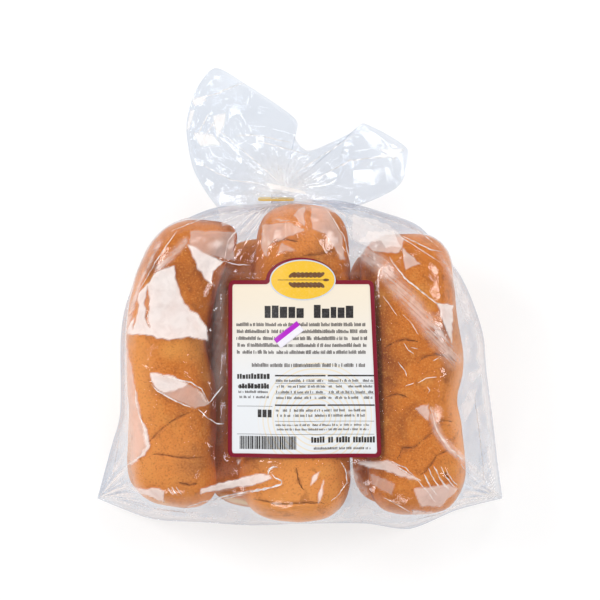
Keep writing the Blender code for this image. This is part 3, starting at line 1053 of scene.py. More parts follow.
def facet_tone(x, y, z):
    """0 where a sheet's facets face the light and 1 where they turn from it."""
    across_slope, up_slope = slopes(x, y, z)
    return smooth_step(0.6 * across_slope - 0.8 * up_slope, -0.32, 0.32)


def tents(x, y, folds, end):
    """Height of tent-shaped folds, which taper as a sine that is cut off that near to its ends."""
    rise = np.zeros(np.shape(x))
    for line, height, left, right in folds:
        gap, along, side = distance_to_line(x, y, line)
        reach = np.where(side > 0, left, right) * MM
        taper = np.sin(math.pi * np.clip(end + (1 - 2 * end) * along, 0, 1))
        rise += height * MM * taper * np.clip(1 - gap / reach, 0, 1)
    return rise


def film_rise(x, y):
    """How far the crumpled film stands above the smooth one."""
    look = settings().film
    loose = slackness().at(x, y)
    share, _ = Edge(BODY_EDGE, BODY_HEART).at(x, y)
    clear = beside_label(x, y)
    edge = smooth_step(-share, -1.0, -0.93)
    coarse = crumpled(11, look.facet, x, y)
    fine = crumpled(23, look.facet * 0.45, x, y)
    amount = look.crumple * (0.26 + 0.74 * loose)
    rise = amount * (0.85 * coarse + 0.34 * fine)
    rise += 3.2 * MM * gathers(x, y, GATHER, 0.045, 22, 5)
    rise += 2.6 * MM * loose * gathers(x, y, GATHER, 0.105, 34, 6)
    for corner, seed in ((FOOT_LEFT, 8), (FOOT_RIGHT, 9)):
        rise += 3.0 * MM * loose * gathers(x, y, BODY_EDGE[corner][:2], 0.050, 30, seed)
    rise += tents(x, y, FILM_FOLDS, 0.12) * (0.45 + 0.55 * loose)
    return rise * clear * edge


def body_sheet(cells, crowding=0.0):
    """Points over the bag's outline between its four corners, row after row from the foot. They are
    evenly spaced at a crowding of 0, and lie closer near the outline at 1."""
    curve = rounded_outline(BODY_EDGE, sharp=(FOOT_LEFT, FOOT_RIGHT))
    closed = np.vstack([curve, curve[:1]])

    def side(first, last):
        return closed[first * POINTS_PER_SPAN : last * POINTS_PER_SPAN + 1]

    def shares(count):
        share = np.linspace(0, 1, count + 1)
        return share + crowding * ((1 - np.cos(math.pi * share)) / 2 - share)

    across, up = shares(cells[0]), shares(cells[1])
    left = along_line(side(FOOT_LEFT, SHOULDER_LEFT), up)[:, None]
    right = along_line(side(SHOULDER_RIGHT, FOOT_RIGHT)[::-1], up)[:, None]
    foot = along_line(side(FOOT_RIGHT, len(BODY_EDGE))[::-1], across)[None]
    head = along_line(side(SHOULDER_LEFT, SHOULDER_RIGHT), across)[None]
    u, v = across[None, :, None], up[:, None, None]
    foot_corners = (1 - v) * ((1 - u) * left[0] + u * right[0])
    head_corners = v * ((1 - u) * left[-1] + u * right[-1])
    corners = foot_corners + head_corners
    return (1 - v) * foot + v * head + (1 - u) * left + u * right - corners


def fan_streaks(tree):
    """Noise drawn out along the lines that run in to the neck, from 0 to 1."""
    object_place = put(tree, COORDINATES, out="Object")
    place = put(tree, "ShaderNodeVectorMath", (object_place, (*GATHER, 0)), operation="SUBTRACT")
    spot = put(tree, "ShaderNodeSeparateXYZ", (place,)).node.outputs
    flat = put(tree, "ShaderNodeCombineXYZ", (spot["X"], spot["Y"]))
    away = put(tree, "ShaderNodeVectorMath", (flat,), out="Value", operation="LENGTH")
    angle = put(tree, MATH, (spot["X"], spot["Y"]), operation="ARCTAN2")
    turned = put(tree, MATH, (angle, STREAKS_PER_RADIAN), operation="MULTIPLY")
    run = put(tree, MATH, (away, STREAK_LENGTH), operation="DIVIDE")
    drawn_out = put(tree, "ShaderNodeCombineXYZ", (turned, run))
    streaks = {"Vector": drawn_out, "Scale": 1.0, "Detail": 3, "Roughness": 0.6, "Distortion": 0.3}
    return put(tree, NOISE, streaks)


def film_material():
    """Clear polypropylene film, cast and glossy: it shows what is behind it, mirrors the lights in sharp
    glints, and turns milky white where it is creased. Painted glare and highlights whiten it and painted
    shade dims it."""
    look = settings().film
    made, tree = new_material("clear polypropylene film")
    place = put(tree, COORDINATES, out="Object")
    white, streaked, shade = (
        put(tree, PAINTED, out="Fac", attribute_name=name) for name in ("white", "streaked", "shade")
    )
    # Fine wrinkles that fan out from the neck break up the thinly milky bands.
    torn = {"Vector": place, "Scale": 1 / 0.0080, "Detail": 3, "Roughness": 0.6, "Distortion": 0.5}
    torn = put(tree, NOISE, torn)
    broken = put(tree, MATH, (fan_streaks(tree), torn), operation="ADD")
    streaks = put(tree, RANGE, (broken, 0.78, 1.15, 0.45, 1.25))
    mottled = put(tree, RANGE, (torn, 0.3, 0.6, 0.88, 1.08))
    solid = put(tree, MATH, (white, mottled), operation="MULTIPLY")
    thin = put(tree, MATH, (streaked, streaks), operation="MULTIPLY")
    milky = put(tree, MATH, (solid, thin), operation="MAXIMUM", use_clamp=True)
    # Painted shade dims the film towards the fold colour.
    dimmed = put(tree, MIX, {0: shade, 6: tuple(look.tint), 7: tuple(look.fold)}, **IN_COLOUR)
    clear = put(tree, "ShaderNodeBsdfTransparent", {"Color": dimmed})
    wrinkle = {"Vector": place, "Scale": 1 / 0.0060, "Detail": 4, "Roughness": 0.6, "Distortion": 1.4}
    bump = put(tree, BUMP, {"Strength": 0.75, "Distance": 0.45 * MM, "Height": put(tree, NOISE, wrinkle)})
    glint = {"Color": linear("#FFFFFF"), "Roughness": 0.05, "Normal": bump}
    gloss = put(tree, "ShaderNodeBsdfGlossy", glint)
    # Both faces of the film mirror a little head on and most at a grazing angle.
    facing = put(tree, "ShaderNodeLayerWeight", {"Blend": 0.5}, out="Facing")
    grazing = put(tree, MATH, (facing, 4.0), operation="POWER")
    mirror = put(tree, RANGE, {"Value": grazing, "To Min": 0.045, "To Max": 0.70})
    sheet = put(tree, MIX_SHADER, (mirror, clear, gloss))
    # The milky white mixed in below is both the milk of creased film and the painted glare and highlights.
    lit = put(tree, "ShaderNodeBsdfDiffuse", {"Color": tuple(look.veil_and_glare)})
    through = put(tree, "ShaderNodeBsdfTranslucent", {"Color": tuple(look.veil_and_glare)})
    veil_and_glare = put(tree, MIX_SHADER, (0.25, lit, through))
    put(tree, OUTPUT, (put(tree, MIX_SHADER, (milky, sheet, veil_and_glare)),))
    return made


class BREADBAG_OT_body_film(bpy.types.Operator):
    """Drapes the front and back film of the bag over the rolls"""

    bl_idname = "bread_bag.body_film"
    bl_label = "Body Film"

    def execute(self, context):
        film = film_material()
        front = body_sheet(FRONT_CELLS)
        x, y, rim = front[..., 0], front[..., 1], front[..., 2]
        share, _ = Edge(BODY_EDGE, BODY_HEART).at(x, y)
        near_edge = smooth_step(share, 0.955, 1.0)
        rise = film_rise(x, y)
        ridge, valley = ridge_glints_and_valley_shade(rise, 0.30 * MM)
        z = slack_film(1).at(x, y) + rise
        z = z * (1 - near_edge) + rim * near_edge
        away = np.hypot(x - GATHER[0], y - GATHER[1])
        bare = bareness().at(x, y)
        loose = slackness().at(x, y) * (0.12 + 0.88 * bare)
        outside = beside_label(x, y)
        white, streaked = painted_glare_and_milk(x, y)
        round_neck = (0.12 + 0.30 * bare) * np.exp(-((away / 0.028) ** 2))
        streaked = np.maximum(streaked, round_neck) * outside
        white, streaked = white * off_tag(x, y), streaked * off_tag(x, y)
        tone = facet_tone(x, y, rise)
        # Painted glare lies on top of the pack and fades out down its steep sides.
        upright = 1 - 0.85 * smooth_step(np.hypot(*slopes(x, y, z)), 2.0, 4.5)
        white, streaked = white * upright, streaked * upright
        # Painted highlight where the facets face the light and along the ridges; painted shade where they
        # turn from it and in the valleys.
        plain = (loose * (0.03 + 0.34 * (1 - tone) ** 2) + (0.10 + 0.55 * loose) * ridge) * off_tag(x, y)
        white = np.maximum(white, plain) * outside
        shade = (loose * (0.06 + 0.42 * tone) + (0.08 + 0.35 * loose) * valley) * outside
        points = np.dstack([x, y, z])
        push_off_rolls(points, share > FRONT_PUSHED_FROM, FILM_OVER_CRUST)
        paint = {"white": white, "shade": shade, "streaked": streaked}
        film_piece("film_front", points, grid_faces(*x.shape), paint, film)

        back = body_sheet(BACK_CELLS, crowding=1.0)
        x, y, rim = back[..., 0], back[..., 1], back[..., 2]
        share, _ = Edge(BODY_EDGE, BODY_HEART).at(x, y)
        near_edge = smooth_step(share, 0.97, 1.0)
        sag = 3.0 * MM * crumpled(31, 0.019, x, y) + 2.0 * MM * gathers(x, y, GATHER, 0.11, 24, 12)
        for corner, seed in ((FOOT_LEFT, 18), (FOOT_RIGHT, 19)):
            sag += 2.5 * MM * gathers(x, y, BODY_EDGE[corner][:2], 0.055, 26, seed)
        z = (slack_film(-1).at(x, y) - sag).clip(0) * (1 - near_edge) + rim * near_edge
        ridge, _ = ridge_glints_and_valley_shade(sag, 0.70 * MM)
        tone = facet_tone(x, y, sag)
        # Painted highlight where the facets face the light and along the ridges; painted shade where they
        # turn from it.
        white = 0.02 + 0.20 * (1 - tone) ** 2 + 0.4 * ridge
        paint = {"white": white, "shade": 0.04 + 0.30 * tone, "streaked": 0 * tone}
        points = np.dstack([x, y, z])
        push_off_rolls(points, share > BACK_PUSHED_FROM, 2 * FILM_OVER_CRUST)
        points[..., 2] = points[..., 2].clip(0)
        film_piece("film_back", points, grid_faces(*x.shape)[:, ::-1], paint, film)
        return {"FINISHED"}


# Folds of the mouth, as FILM_FOLDS.
MOUTH_FOLDS = (
    (traced(-635, 1222, -502, 1252, -315, 1331), 3.0, 9, 5),
    (traced(-393, 992, -266, 992, -30, 944), 2.6, 6, 5),
    (traced(-266, 962, 67, 865), 2.2, 5, 6),
    (traced(-30, 756, 150, 880, 321, 992), 3.0, 6, 6),
    (traced(80, 720, 300, 840, 600, 880), 2.6, 6, 6),
    (traced(-120, 700, -400, 950, -560, 1080), 3.0, 7, 6),
    (traced(-150, 680, -420, 720, -600, 820), 2.6, 6, 6),
    (traced(-550, 1130, -620, 1000), 2.2, 3, 3),
    (traced(-500, 1110, -590, 960), 2.2, 3, 3),
)
# Patches of painted glare on the upper flap: outline in tenths of a millimetre, how white.
MOUTH_GLARE_PATCHES = (
    (traced(-660, 1220, -580, 1235, -570, 1215, -640, 1180), 0.85),
    (traced(-526, 1113, -448, 1130, -460, 1060, -500, 980), 0.80),
    (traced(-645, 1010, -530, 1000, -480, 940, -600, 930), 0.80),
    (traced(-665, 1150, -640, 1150, -670, 1040, -690, 1030), 0.70),
    (traced(480, 915, 640, 925, 570, 855), 0.55),
    (traced(-200, 700, 30, 650, 40, 630, -180, 660), 0.70),
)


def mouth_flap(side):
    """One of the two sheets of the mouth, pleated out from the neck: side is 1 above and -1 below."""
    rng = np.random.default_rng(40 + side)
    edge = evenly(np.vstack([rounded_outline(MOUTH_EDGE), MOUTH_EDGE[:1]]), MOUTH_SPOKES + 1)[:-1]
    share = np.linspace(0, 1, MOUTH_RINGS + 1)[:, None, None]
    heart = np.array((*MOUTH_HEART, MOUTH_HEIGHT))
    grid = heart + (edge[None] - heart) * share
    x, y = grid[..., 0], grid[..., 1]
    out = share[..., 0] * np.ones(x.shape)
    away = np.hypot(x - MOUTH_HEART[0], y - MOUTH_HEART[1])
    angle = np.arctan2(y - MOUTH_HEART[1], x - MOUTH_HEART[0])
    pleats = np.zeros(x.shape)
    for beat in (9, 16, 25):
        phase, drift = rng.uniform(0, math.pi), rng.uniform(-14, 14)
        pleats += (1 - np.abs(np.sin(beat * angle / 2 + phase + drift * away))) / math.sqrt(beat)
    near_neck = np.exp(-((away / 0.030) ** 2))
    rise = 4.0 * MM * pleats * near_neck * smooth_step(out, 0.05, 0.40)
    rise += 5.5 * MM * crumpled(60 + side, 0.021, x, y) * smooth_step(out, 0.10, 0.4)
    rise += 1.7 * MM * crumpled(70 + side, 0.0080, x, y) * smooth_step(out, 0.10, 0.4)
    if side > 0:
        rise += tents(x, y, MOUTH_FOLDS, 0.1)
    ridge, valley = ridge_glints_and_valley_shade(rise, 0.45 * MM)
    closed_edge = smooth_step(-out, -1.0, -0.95)
    half = 4.5 * MM * (1 - out) ** 2 + 1.2 * MM
    over_tag = 10 * MM * np.exp(-((away / 0.019) ** 2))
    z = grid[..., 2] + (side * (half + over_tag) + rise - 3 * MM) * closed_edge
    # Painted highlight along the ridges and painted shade in the valleys, over a milky neck and an uneven
    # dimming.
    white = 0.03 + 0.10 * near_neck + 0.55 * ridge
    streaked = 0.30 * np.exp(-((away / 0.024) ** 2))
    if side > 0:
        white = patched(white, x, y, MOUTH_GLARE_PATCHES)
    shade = (0.55 * valley + 0.20 * crumpled(80 + side, 0.024, x, y)) * off_tag(x, y)
    white, streaked = white * off_tag(x, y), streaked * off_tag(x, y)
    points = np.dstack([x, y, z])
    faces = grid_faces(points.shape[0], points.shape[1], wrapped=True)
    paint = {"white": white, "shade": shade, "streaked": streaked}
    return points, faces if side > 0 else faces[:, ::-1], paint


class BREADBAG_OT_mouth_film(bpy.types.Operator):
    """Fans out the open mouth beyond the neck and gathers the neck itself"""

    bl_idname = "bread_bag.mouth_film"
    bl_label = "Mouth and Neck"

    def execute(self, context):
        film = bpy.data.materials["clear polypropylene film"]
        for name, side in (("mouth_front", 1), ("mouth_back", -1)):
            film_piece(name, *mouth_flap(side), film)

        turn = np.linspace(0, 2 * math.pi, NECK_SIDES, endpoint=False)[None, :]
        along = np.linspace(0, 1, NECK_RINGS)[:, None]
        puff = np.sin(math.pi * along) ** 0.7
        pleat = 1 + 0.16 * np.abs(np.sin(6.5 * turn + 1.9 * along)) - 0.07 * np.sin(11 * turn - 3 * along)
        x = NECK_X + (NECK_RADIUS + 0.0020 * puff) * pleat * np.cos(turn)
        z = NECK_Z + (NECK_RADIUS + 0.0020 * puff) * pleat * np.sin(turn)
        y = (NECK_Y[0] + (NECK_Y[1] - NECK_Y[0]) * along) * np.ones(x.shape)
        faces = grid_faces(NECK_RINGS, NECK_SIDES, wrapped=True)[:, ::-1]
        crumple = crumpled(91, 0.004, x, y)
        paint = {"white": 0.12 + 0.30 * crumple**2, "shade": 0.05 * crumple, "streaked": 0 * crumple}
        film_piece("neck", np.dstack([x, y, z]), faces, paint, film)
        return {"FINISHED"}


def crease_tree(material):
    """Geometry Nodes that lay a narrow arched ribbon of film along each crease line."""
    tree = bpy.data.node_groups.new("crease ribbons", "GeometryNodeTree")
    for label, kind in (("Lines", "Geometry"), ("Width", "Float"), ("Height", "Float")):
        tree.interface.new_socket(label, in_out="INPUT", socket_type="NodeSocket" + kind)
    tree.interface.new_socket("Ribbons", in_out="OUTPUT", socket_type="NodeSocketGeometry")
    given = tree.nodes.new("NodeGroupInput").outputs
    curves = put(tree, "GeometryNodeMeshToCurve", {"Mesh": given["Lines"]})
    width = put(tree, "GeometryNodeInputNamedAttribute", {"Name": "width"}, data_type="FLOAT")
    sized = put(tree, MATH, (width, given["Width"]), operation="MULTIPLY")
    level = put(tree, "GeometryNodeSetCurveNormal", {"Curve": curves}, mode="Z_UP")
    arch = put(tree, "GeometryNodeCurvePrimitiveLine", {"Start": (-0.5, 0, 0), "End": (0.5, 0, 0)})
    arch = put(tree, "GeometryNodeResampleCurve", {"Curve": arch, "Count": 5})
    across = put(tree, "ShaderNodeSeparateXYZ", (put(tree, "GeometryNodeInputPosition"),), out="X")
    square = put(tree, MATH, (across, across), operation="MULTIPLY")
    crown = put(tree, MATH, (square, -4.0, 1.0), operation="MULTIPLY_ADD")
    rise = put(tree, MATH, (crown, given["Height"]), operation="MULTIPLY")
    lift = put(tree, "ShaderNodeCombineXYZ", {"Y": rise})
    arch = put(tree, "GeometryNodeSetPosition", {"Geometry": arch, "Offset": lift})
    swept = put(tree, "GeometryNodeCurveToMesh", {"Curve": level, "Profile Curve": arch, "Scale": sized})
    real = put(tree, "GeometryNodeRealizeInstances", {"Geometry": swept})
    coated = put(tree, "GeometryNodeSetMaterial", {"Geometry": real, "Material": material})
    put(tree, "NodeGroupOutput", (coated,))
    return tree


def made_by_nodes(name, tree, values, start=None):
    """A plain mesh object made by a Geometry Nodes tree from its named inputs."""
    carrier = link_up(name, start or bpy.data.meshes.new(name), None)
    modifier = carrier.modifiers.new(name, "NODES")
    modifier.node_group = tree
    for item in tree.interface.items_tree:
        if item.in_out == "INPUT" and item.name in values:
            modifier[item.identifier] = values[item.name]
    graph = bpy.context.evaluated_depsgraph_get()
    plain = bpy.data.meshes.new_from_object(carrier.evaluated_get(graph))
    carrier.modifiers.clear()
    carrier.data = plain
    plain.name = name
    return carrier


def crease_glint_material():
    """The same film, folded double in a sharp crease: it looks almost white, doubled film with a painted
    glint.
    """
    made, tree = new_material("creased polypropylene film")
    place = put(tree, COORDINATES, out="Object")
    fold = put(tree, NOISE, {"Vector": place, "Scale": 1 / 0.004})
    share = put(tree, RANGE, (fold, 0.30, 0.62, 0.30, 0.92), interpolation_type="SMOOTHSTEP")
    lit = put(tree, PRINCIPLED, {"Base Color": linear("#FFF9F4"), "Roughness": 0.25, "IOR": 1.5})
    clear = put(tree, "ShaderNodeBsdfTransparent", {"Color": linear("#F6F7FA")})
    put(tree, OUTPUT, (put(tree, MIX_SHADER, (share, clear, lit)),))
    return made


def crack_shade_material():
    """The bottom of a crack in baked crust: matt and dry, and dark with painted shade."""
    made, tree = new_material("cracked crust")
    uneven = put(tree, NOISE, {"Vector": put(tree, COORDINATES, out="Object"), "Scale": 1 / 0.0015})
    tone = put(tree, MIX, {0: uneven, 6: linear("#3A1806"), 7: linear("#7A3E18")}, **IN_COLOUR)
    dry = {"Base Color": tone, "Roughness": 0.9, "Specular IOR Level": 0.1}
    put(tree, OUTPUT, (put(tree, PRINCIPLED, dry),))
    return made


def height_of(name):
    """A function that reads the height of a finished piece at x, y, seen from above."""
    tree = skin_of(name)
    down = Vector((0, 0, -1))

    def height(x, y):
        hit = tree.ray_cast(Vector((x, y, 0.2)), down)[0]
        return hit.z if hit is not None else None

    return height


def ribbons(name, lines, height, width, shake_reach, uneven, material):
    """One piece of narrow ribbons laid along lines on a surface."""
    points, edges, widths = [], [], []
    for line, multiple in lines:
        reach = sum(math.dist(a, b) for a, b in zip(line, line[1:]))
        count = max(4, int(reach / (0.8 * MM)))
        begun = False
        for step, (x, y) in enumerate(evenly(np.array(line), count)):
            shake = noise.noise(Vector((x, y, 0)) / 0.004)
            jag = noise.noise_vector(Vector((x, y, 5)) / 0.0016) * 0.7
            second_shake = noise.noise(Vector((y, x, 1)) / 0.004)
            x, y = x + shake_reach * (shake + jag.x), y + shake_reach * (second_shake + jag.y)
            z = height(x, y)
            if z is None:
                begun = False
                continue
            if begun:
                edges.append((len(points) - 1, len(points)))
            begun = True
            share = step / (count - 1)
            points.append((x, y, z + 0.12 * MM))
            fineness = max(0.12, 0.8 + uneven * noise.noise(Vector((x, y, 2)) / 0.0018))
            widths.append(multiple * (0.15 + 0.85 * math.sin(math.pi * share) ** 0.6) * fineness)
    start = bpy.data.meshes.new(name)
    start.from_pydata(points, edges, [])
    paint_on(start, {"width": widths})
    return made_by_nodes(name, crease_tree(material), {"Width": width, "Height": 0.35}, start)


class BREADBAG_OT_creases(bpy.types.Operator):
    """Lays the sharp white creases, painted glints along the folds, on the front film and the mouth"""

    bl_idname = "bread_bag.creases"
    bl_label = "Sharp Creases"

    def execute(self, context):
        width = settings().film.crease
        height = height_of("film_front")
        white = crease_glint_material()
        made = ribbons("film_creases", SHARP_CREASES, height, width, 0.35 * MM, 0.5, white)
        finish_piece(made, "bread_under_film", "bag")
        folds = [(fold[0], 1.0) for fold in MOUTH_FOLDS]
        made = ribbons("mouth_creases", folds, height_of("mouth_front"), width, 0.35 * MM, 0.9, white)
        finish_piece(made, "bread_under_film", "bag")
        return {"FINISHED"}


class BREADBAG_OT_cracks(bpy.types.Operator):
    """Draws the fine dark cracks at the bottom of the crust's creases: painted shade in them"""

    bl_idname = "bread_bag.cracks"
    bl_label = "Crust Cracks"

    def execute(self, context):
        material = crack_shade_material()
        for name, lines in CRUST_CREASES.items():
            sized = [(line, 1.0) for line in lines]
            height = height_of("roll_" + name)
            made = ribbons("cracks_" + name, sized, height, CRACK_WIDTH, 0.7 * MM, 1.1, material)
            finish_piece(made, "bread_under_film", "bag")
        return {"FINISHED"}


def label_place(across, up):
    """x and y of a place on the label, across and up from -1 to 1."""
    foot, head = np.array(LABEL_FOOT), np.array(LABEL_HEAD)
    straight = LABEL_FOOT_WIDTH / 2 - LABEL_CORNER
    u = across * LABEL_FOOT_WIDTH / 2
    past = np.clip(np.abs(u) - straight, 0, LABEL_CORNER)
    cut = LABEL_CORNER - np.sqrt(LABEL_CORNER**2 - past**2)
    arch = ARCH_RISE * np.sqrt(np.clip(1 - (u / ARCH_HALF_WIDTH) ** 2, 0, 1))
    share = (up + 1) / 2
    width = LABEL_FOOT_WIDTH + (LABEL_HEAD_WIDTH - LABEL_FOOT_WIDTH) * share
    x = foot[0] + (head[0] - foot[0]) * share + across * width / 2
    y = foot[1] + (head[1] - foot[1]) * share + cut * (1 - share) + (arch - cut) * share
    return x, y


@functools.lru_cache(maxsize=None)
def label_outline():
    """The label's outline from above, all the way round."""
    run = np.concatenate([np.linspace(-1, -0.9, 7), np.linspace(-0.88, 0.88, 81), np.linspace(0.9, 1, 7)])
    foot = label_place(run, -1.0)
    head = label_place(run[::-1], 1.0)
    return tuple(map(tuple, np.hstack([foot, head]).T.tolist()))


def paper_height(x, y):
    """Height of the label's face: the smooth film and the label's own lift."""
    return slack_film(1).at(x, y) + LABEL_LIFT


def paper_material():
    """Coated label paper, offset printed: a smooth semi-gloss face, warm at the head and cool below."""
    look = settings().label
    made, tree = new_material("coated label paper")
    place = put(tree, COORDINATES, out="Object")
    inwards = put(tree, PAINTED, out="Fac", attribute_name="inwards")
    up = put(tree, "ShaderNodeSeparateXYZ", (place,), out="Y")
    fibre = put(tree, NOISE, {"Vector": place, "Scale": 1 / 0.0025, "Detail": 3})
    # Faint yellow rings are printed behind the small print on the right.
    middle = {"Vector": place, "Location": (-0.010, 0.068, 0), "Scale": (1, 1, 0)}
    middle = put(tree, "ShaderNodeMapping", middle)
    ringed = {"Vector": middle, "Scale": 105.0, "Distortion": 1.5, "Detail": 0.0, "Detail Scale": 0.6}
    rings = put(tree, "ShaderNodeTexWave", ringed, out="Fac", wave_type="RINGS", rings_direction="Z")
    rings = put(tree, RANGE, (rings, 0.72, 0.98), interpolation_type="SMOOTHSTEP")
    away = put(tree, "ShaderNodeVectorMath", (middle,), out="Value", operation="LENGTH")
    near = put(tree, RANGE, (away, 0.036, 0.030), interpolation_type="SMOOTHSTEP")
    rings = put(tree, MATH, (rings, near), operation="MULTIPLY")

    shade = tuple(look.paper_foot)
    edge = look.border_width
    # Each layer: its pattern, where in it the layer starts and is full, how, its most, its colour.
    layers = (
        (up, -0.055, 0.010, "SMOOTHSTEP", 1.0, look.paper_head),
        (fibre, 0.0, 1.0, "LINEAR", 0.05, linear("#C9C2B6")),
        (rings, 0.0, 1.0, "LINEAR", 0.36, linear("#EFC860")),
        # A faint painted shadow just inside the border.
        (inwards, edge + 1.8 * MM, edge, "SMOOTHSTEP", 0.16, linear("#B9AFA6")),
        (inwards, edge + 0.10 * MM, edge - 0.10 * MM, "SMOOTHSTEP", 1.0, look.border),
    )
    for pattern, start, full, easing, most, tone in layers:
        share = put(tree, RANGE, (pattern, start, full, 0.0, most), interpolation_type=easing)
        shade = put(tree, MIX, {0: share, 6: shade, 7: tuple(tone)}, **IN_COLOUR)
    wave = put(tree, NOISE, {"Vector": place, "Scale": 1 / 0.011})
    bump = put(tree, BUMP, {"Strength": 0.30, "Distance": 0.5 * MM, "Height": wave})
    paper = {"Base Color": shade, "Roughness": 0.42, "Specular IOR Level": 0.3, "Normal": bump}
    put(tree, OUTPUT, (put(tree, PRINCIPLED, paper),))
    return made


def ink_material(name, shade):
    """Offset ink on coated paper: flat colour a little less glossy than the paper, slightly uneven."""
    made, tree = new_material(name)
    uneven = put(tree, NOISE, {"Vector": put(tree, COORDINATES, out="Object"), "Scale": 1 / 0.0012})
    faded = put(tree, RANGE, (uneven, 0.45, 0.75, 0.0, 0.05), interpolation_type="SMOOTHSTEP")
    tone = put(tree, MIX, {0: faded, 6: tuple(shade), 7: linear("#FFFFFF")}, **IN_COLOUR)
    put(tree, OUTPUT, (put(tree, PRINCIPLED, {"Base Color": tone, "Roughness": 0.45, "IOR": 1.48}),))
    return made


class BREADBAG_OT_label(bpy.types.Operator):
    """Lays the printed paper label on the film"""

    bl_idname = "bread_bag.label"
    bl_label = "Label"

    def execute(self, context):
        across, up = np.meshgrid(*(np.linspace(-1, 1, cells + 1) for cells in LABEL_CELLS))
        x, y = label_place(across, up)
        inwards = inside_outline(x, y, label_outline()).clip(0)
        z = paper_height(x, y)
        sheet = mesh_of("label", np.dstack([x, y, z]), grid_faces(*x.shape), {"inwards": inwards})
        label = link_up("paper_label", sheet, paper_material())
        thicken(label, 0.15 * MM)
        finish_piece(label, "label_paper", "label")
        return {"FINISHED"}


PRINT_SOCKETS = (
    ("Count", "Int"),
    ("Line Length", "Float"),
    ("Line Spacing", "Float"),
    ("Lines", "Int"),
    ("Narrowest", "Float"),
    ("Widest", "Float"),
    ("Lowest", "Float"),
    ("Tallest", "Float"),
    ("Gap", "Float"),
    ("Blank Share", "Float"),
    ("Seed", "Int"),
    ("Material", "Material"),
)


def print_tree():
    """Geometry Nodes that set lines of small printed marks with gaps between them."""
    tree = bpy.data.node_groups.new("printed marks", "GeometryNodeTree")
    for label, kind in PRINT_SOCKETS:
        tree.interface.new_socket(label, in_out="INPUT", socket_type="NodeSocket" + kind)
    tree.interface.new_socket("Marks", in_out="OUTPUT", socket_type="NodeSocketGeometry")
    given = tree.nodes.new("NodeGroupInput").outputs

    def drawn(low, high, shift):
        seed = put(tree, "FunctionNodeIntegerMath", (given["Seed"], shift), operation="ADD")
        return put(tree, "FunctionNodeRandomValue", {2: low, 3: high, 8: seed}, out=1, data_type="FLOAT")

    def kept(name):
        return put(tree, "GeometryNodeInputNamedAttribute", {"Name": name}, data_type="FLOAT")

    def without(points, first, second, operation):
        """The points left once those are deleted whose first value compares so with the second."""
        lost = put(tree, "FunctionNodeCompare", (first, second), operation=operation)
        return put(tree, "GeometryNodeDeleteGeometry", {"Geometry": points, "Selection": lost})

    points = put(tree, "GeometryNodeMeshLine", {"Count": given["Count"]})
    sizes = (
        ("wide", drawn(given["Narrowest"], given["Widest"], 0)),
        ("tall", drawn(given["Lowest"], given["Tallest"], 1)),
        ("draw", drawn(0.0, 1.0, 2)),
    )
    for name, value in sizes:
        stored = {"Geometry": points, "Name": name, "Value": value}
        points = put(tree, "GeometryNodeStoreNamedAttribute", stored, data_type="FLOAT")
    step = put(tree, MATH, (kept("wide"), given["Gap"]), operation="ADD")
    run = put(tree, "GeometryNodeAccumulateField", (step,), out=1, data_type="FLOAT")
    line = put(tree, MATH, (run, given["Line Length"]), operation="DIVIDE")
    line = put(tree, MATH, (line,), operation="FLOOR")
    begun = put(tree, MATH, (line, given["Line Length"]), operation="MULTIPLY")
    start = put(tree, MATH, (run, begun), operation="SUBTRACT")
    down = put(tree, MATH, (given["Line Spacing"], -1.0), operation="MULTIPLY")
    drop = put(tree, MATH, (line, down), operation="MULTIPLY")
    spot = put(tree, "ShaderNodeCombineXYZ", {"X": start, "Y": drop})
    points = put(tree, "GeometryNodeSetPosition", {"Geometry": points, "Position": spot})
    place = put(tree, "ShaderNodeSeparateXYZ", (put(tree, "GeometryNodeInputPosition"),)).node.outputs
    end = put(tree, MATH, (place["X"], kept("wide")), operation="ADD")
    points = without(points, end, given["Line Length"], "GREATER_THAN")
    lines = put(tree, MATH, (given["Lines"], -0.5), operation="ADD")
    floor = put(tree, MATH, (lines, down), operation="MULTIPLY")
    points = without(points, place["Y"], floor, "LESS_THAN")
    points = without(points, kept("draw"), given["Blank Share"], "LESS_THAN")
    mark = {"Size X": 1.0, "Size Y": 1.0, "Vertices X": 4, "Vertices Y": 3}
    mark = put(tree, "GeometryNodeMeshGrid", mark)
    mark = put(tree, "GeometryNodeTransform", {"Geometry": mark, "Translation": (0.5, 0.5, 0)})
    size = put(tree, "ShaderNodeCombineXYZ", (kept("wide"), kept("tall"), 1.0))
    set_out = {"Points": points, "Instance": mark, "Scale": size}
    marks = put(tree, "GeometryNodeInstanceOnPoints", set_out)
    real = put(tree, "GeometryNodeRealizeInstances", {"Geometry": marks})
    inked = put(tree, "GeometryNodeSetMaterial", {"Geometry": real, "Material": given["Material"]})
    put(tree, "NodeGroupOutput", (inked,))
    return tree


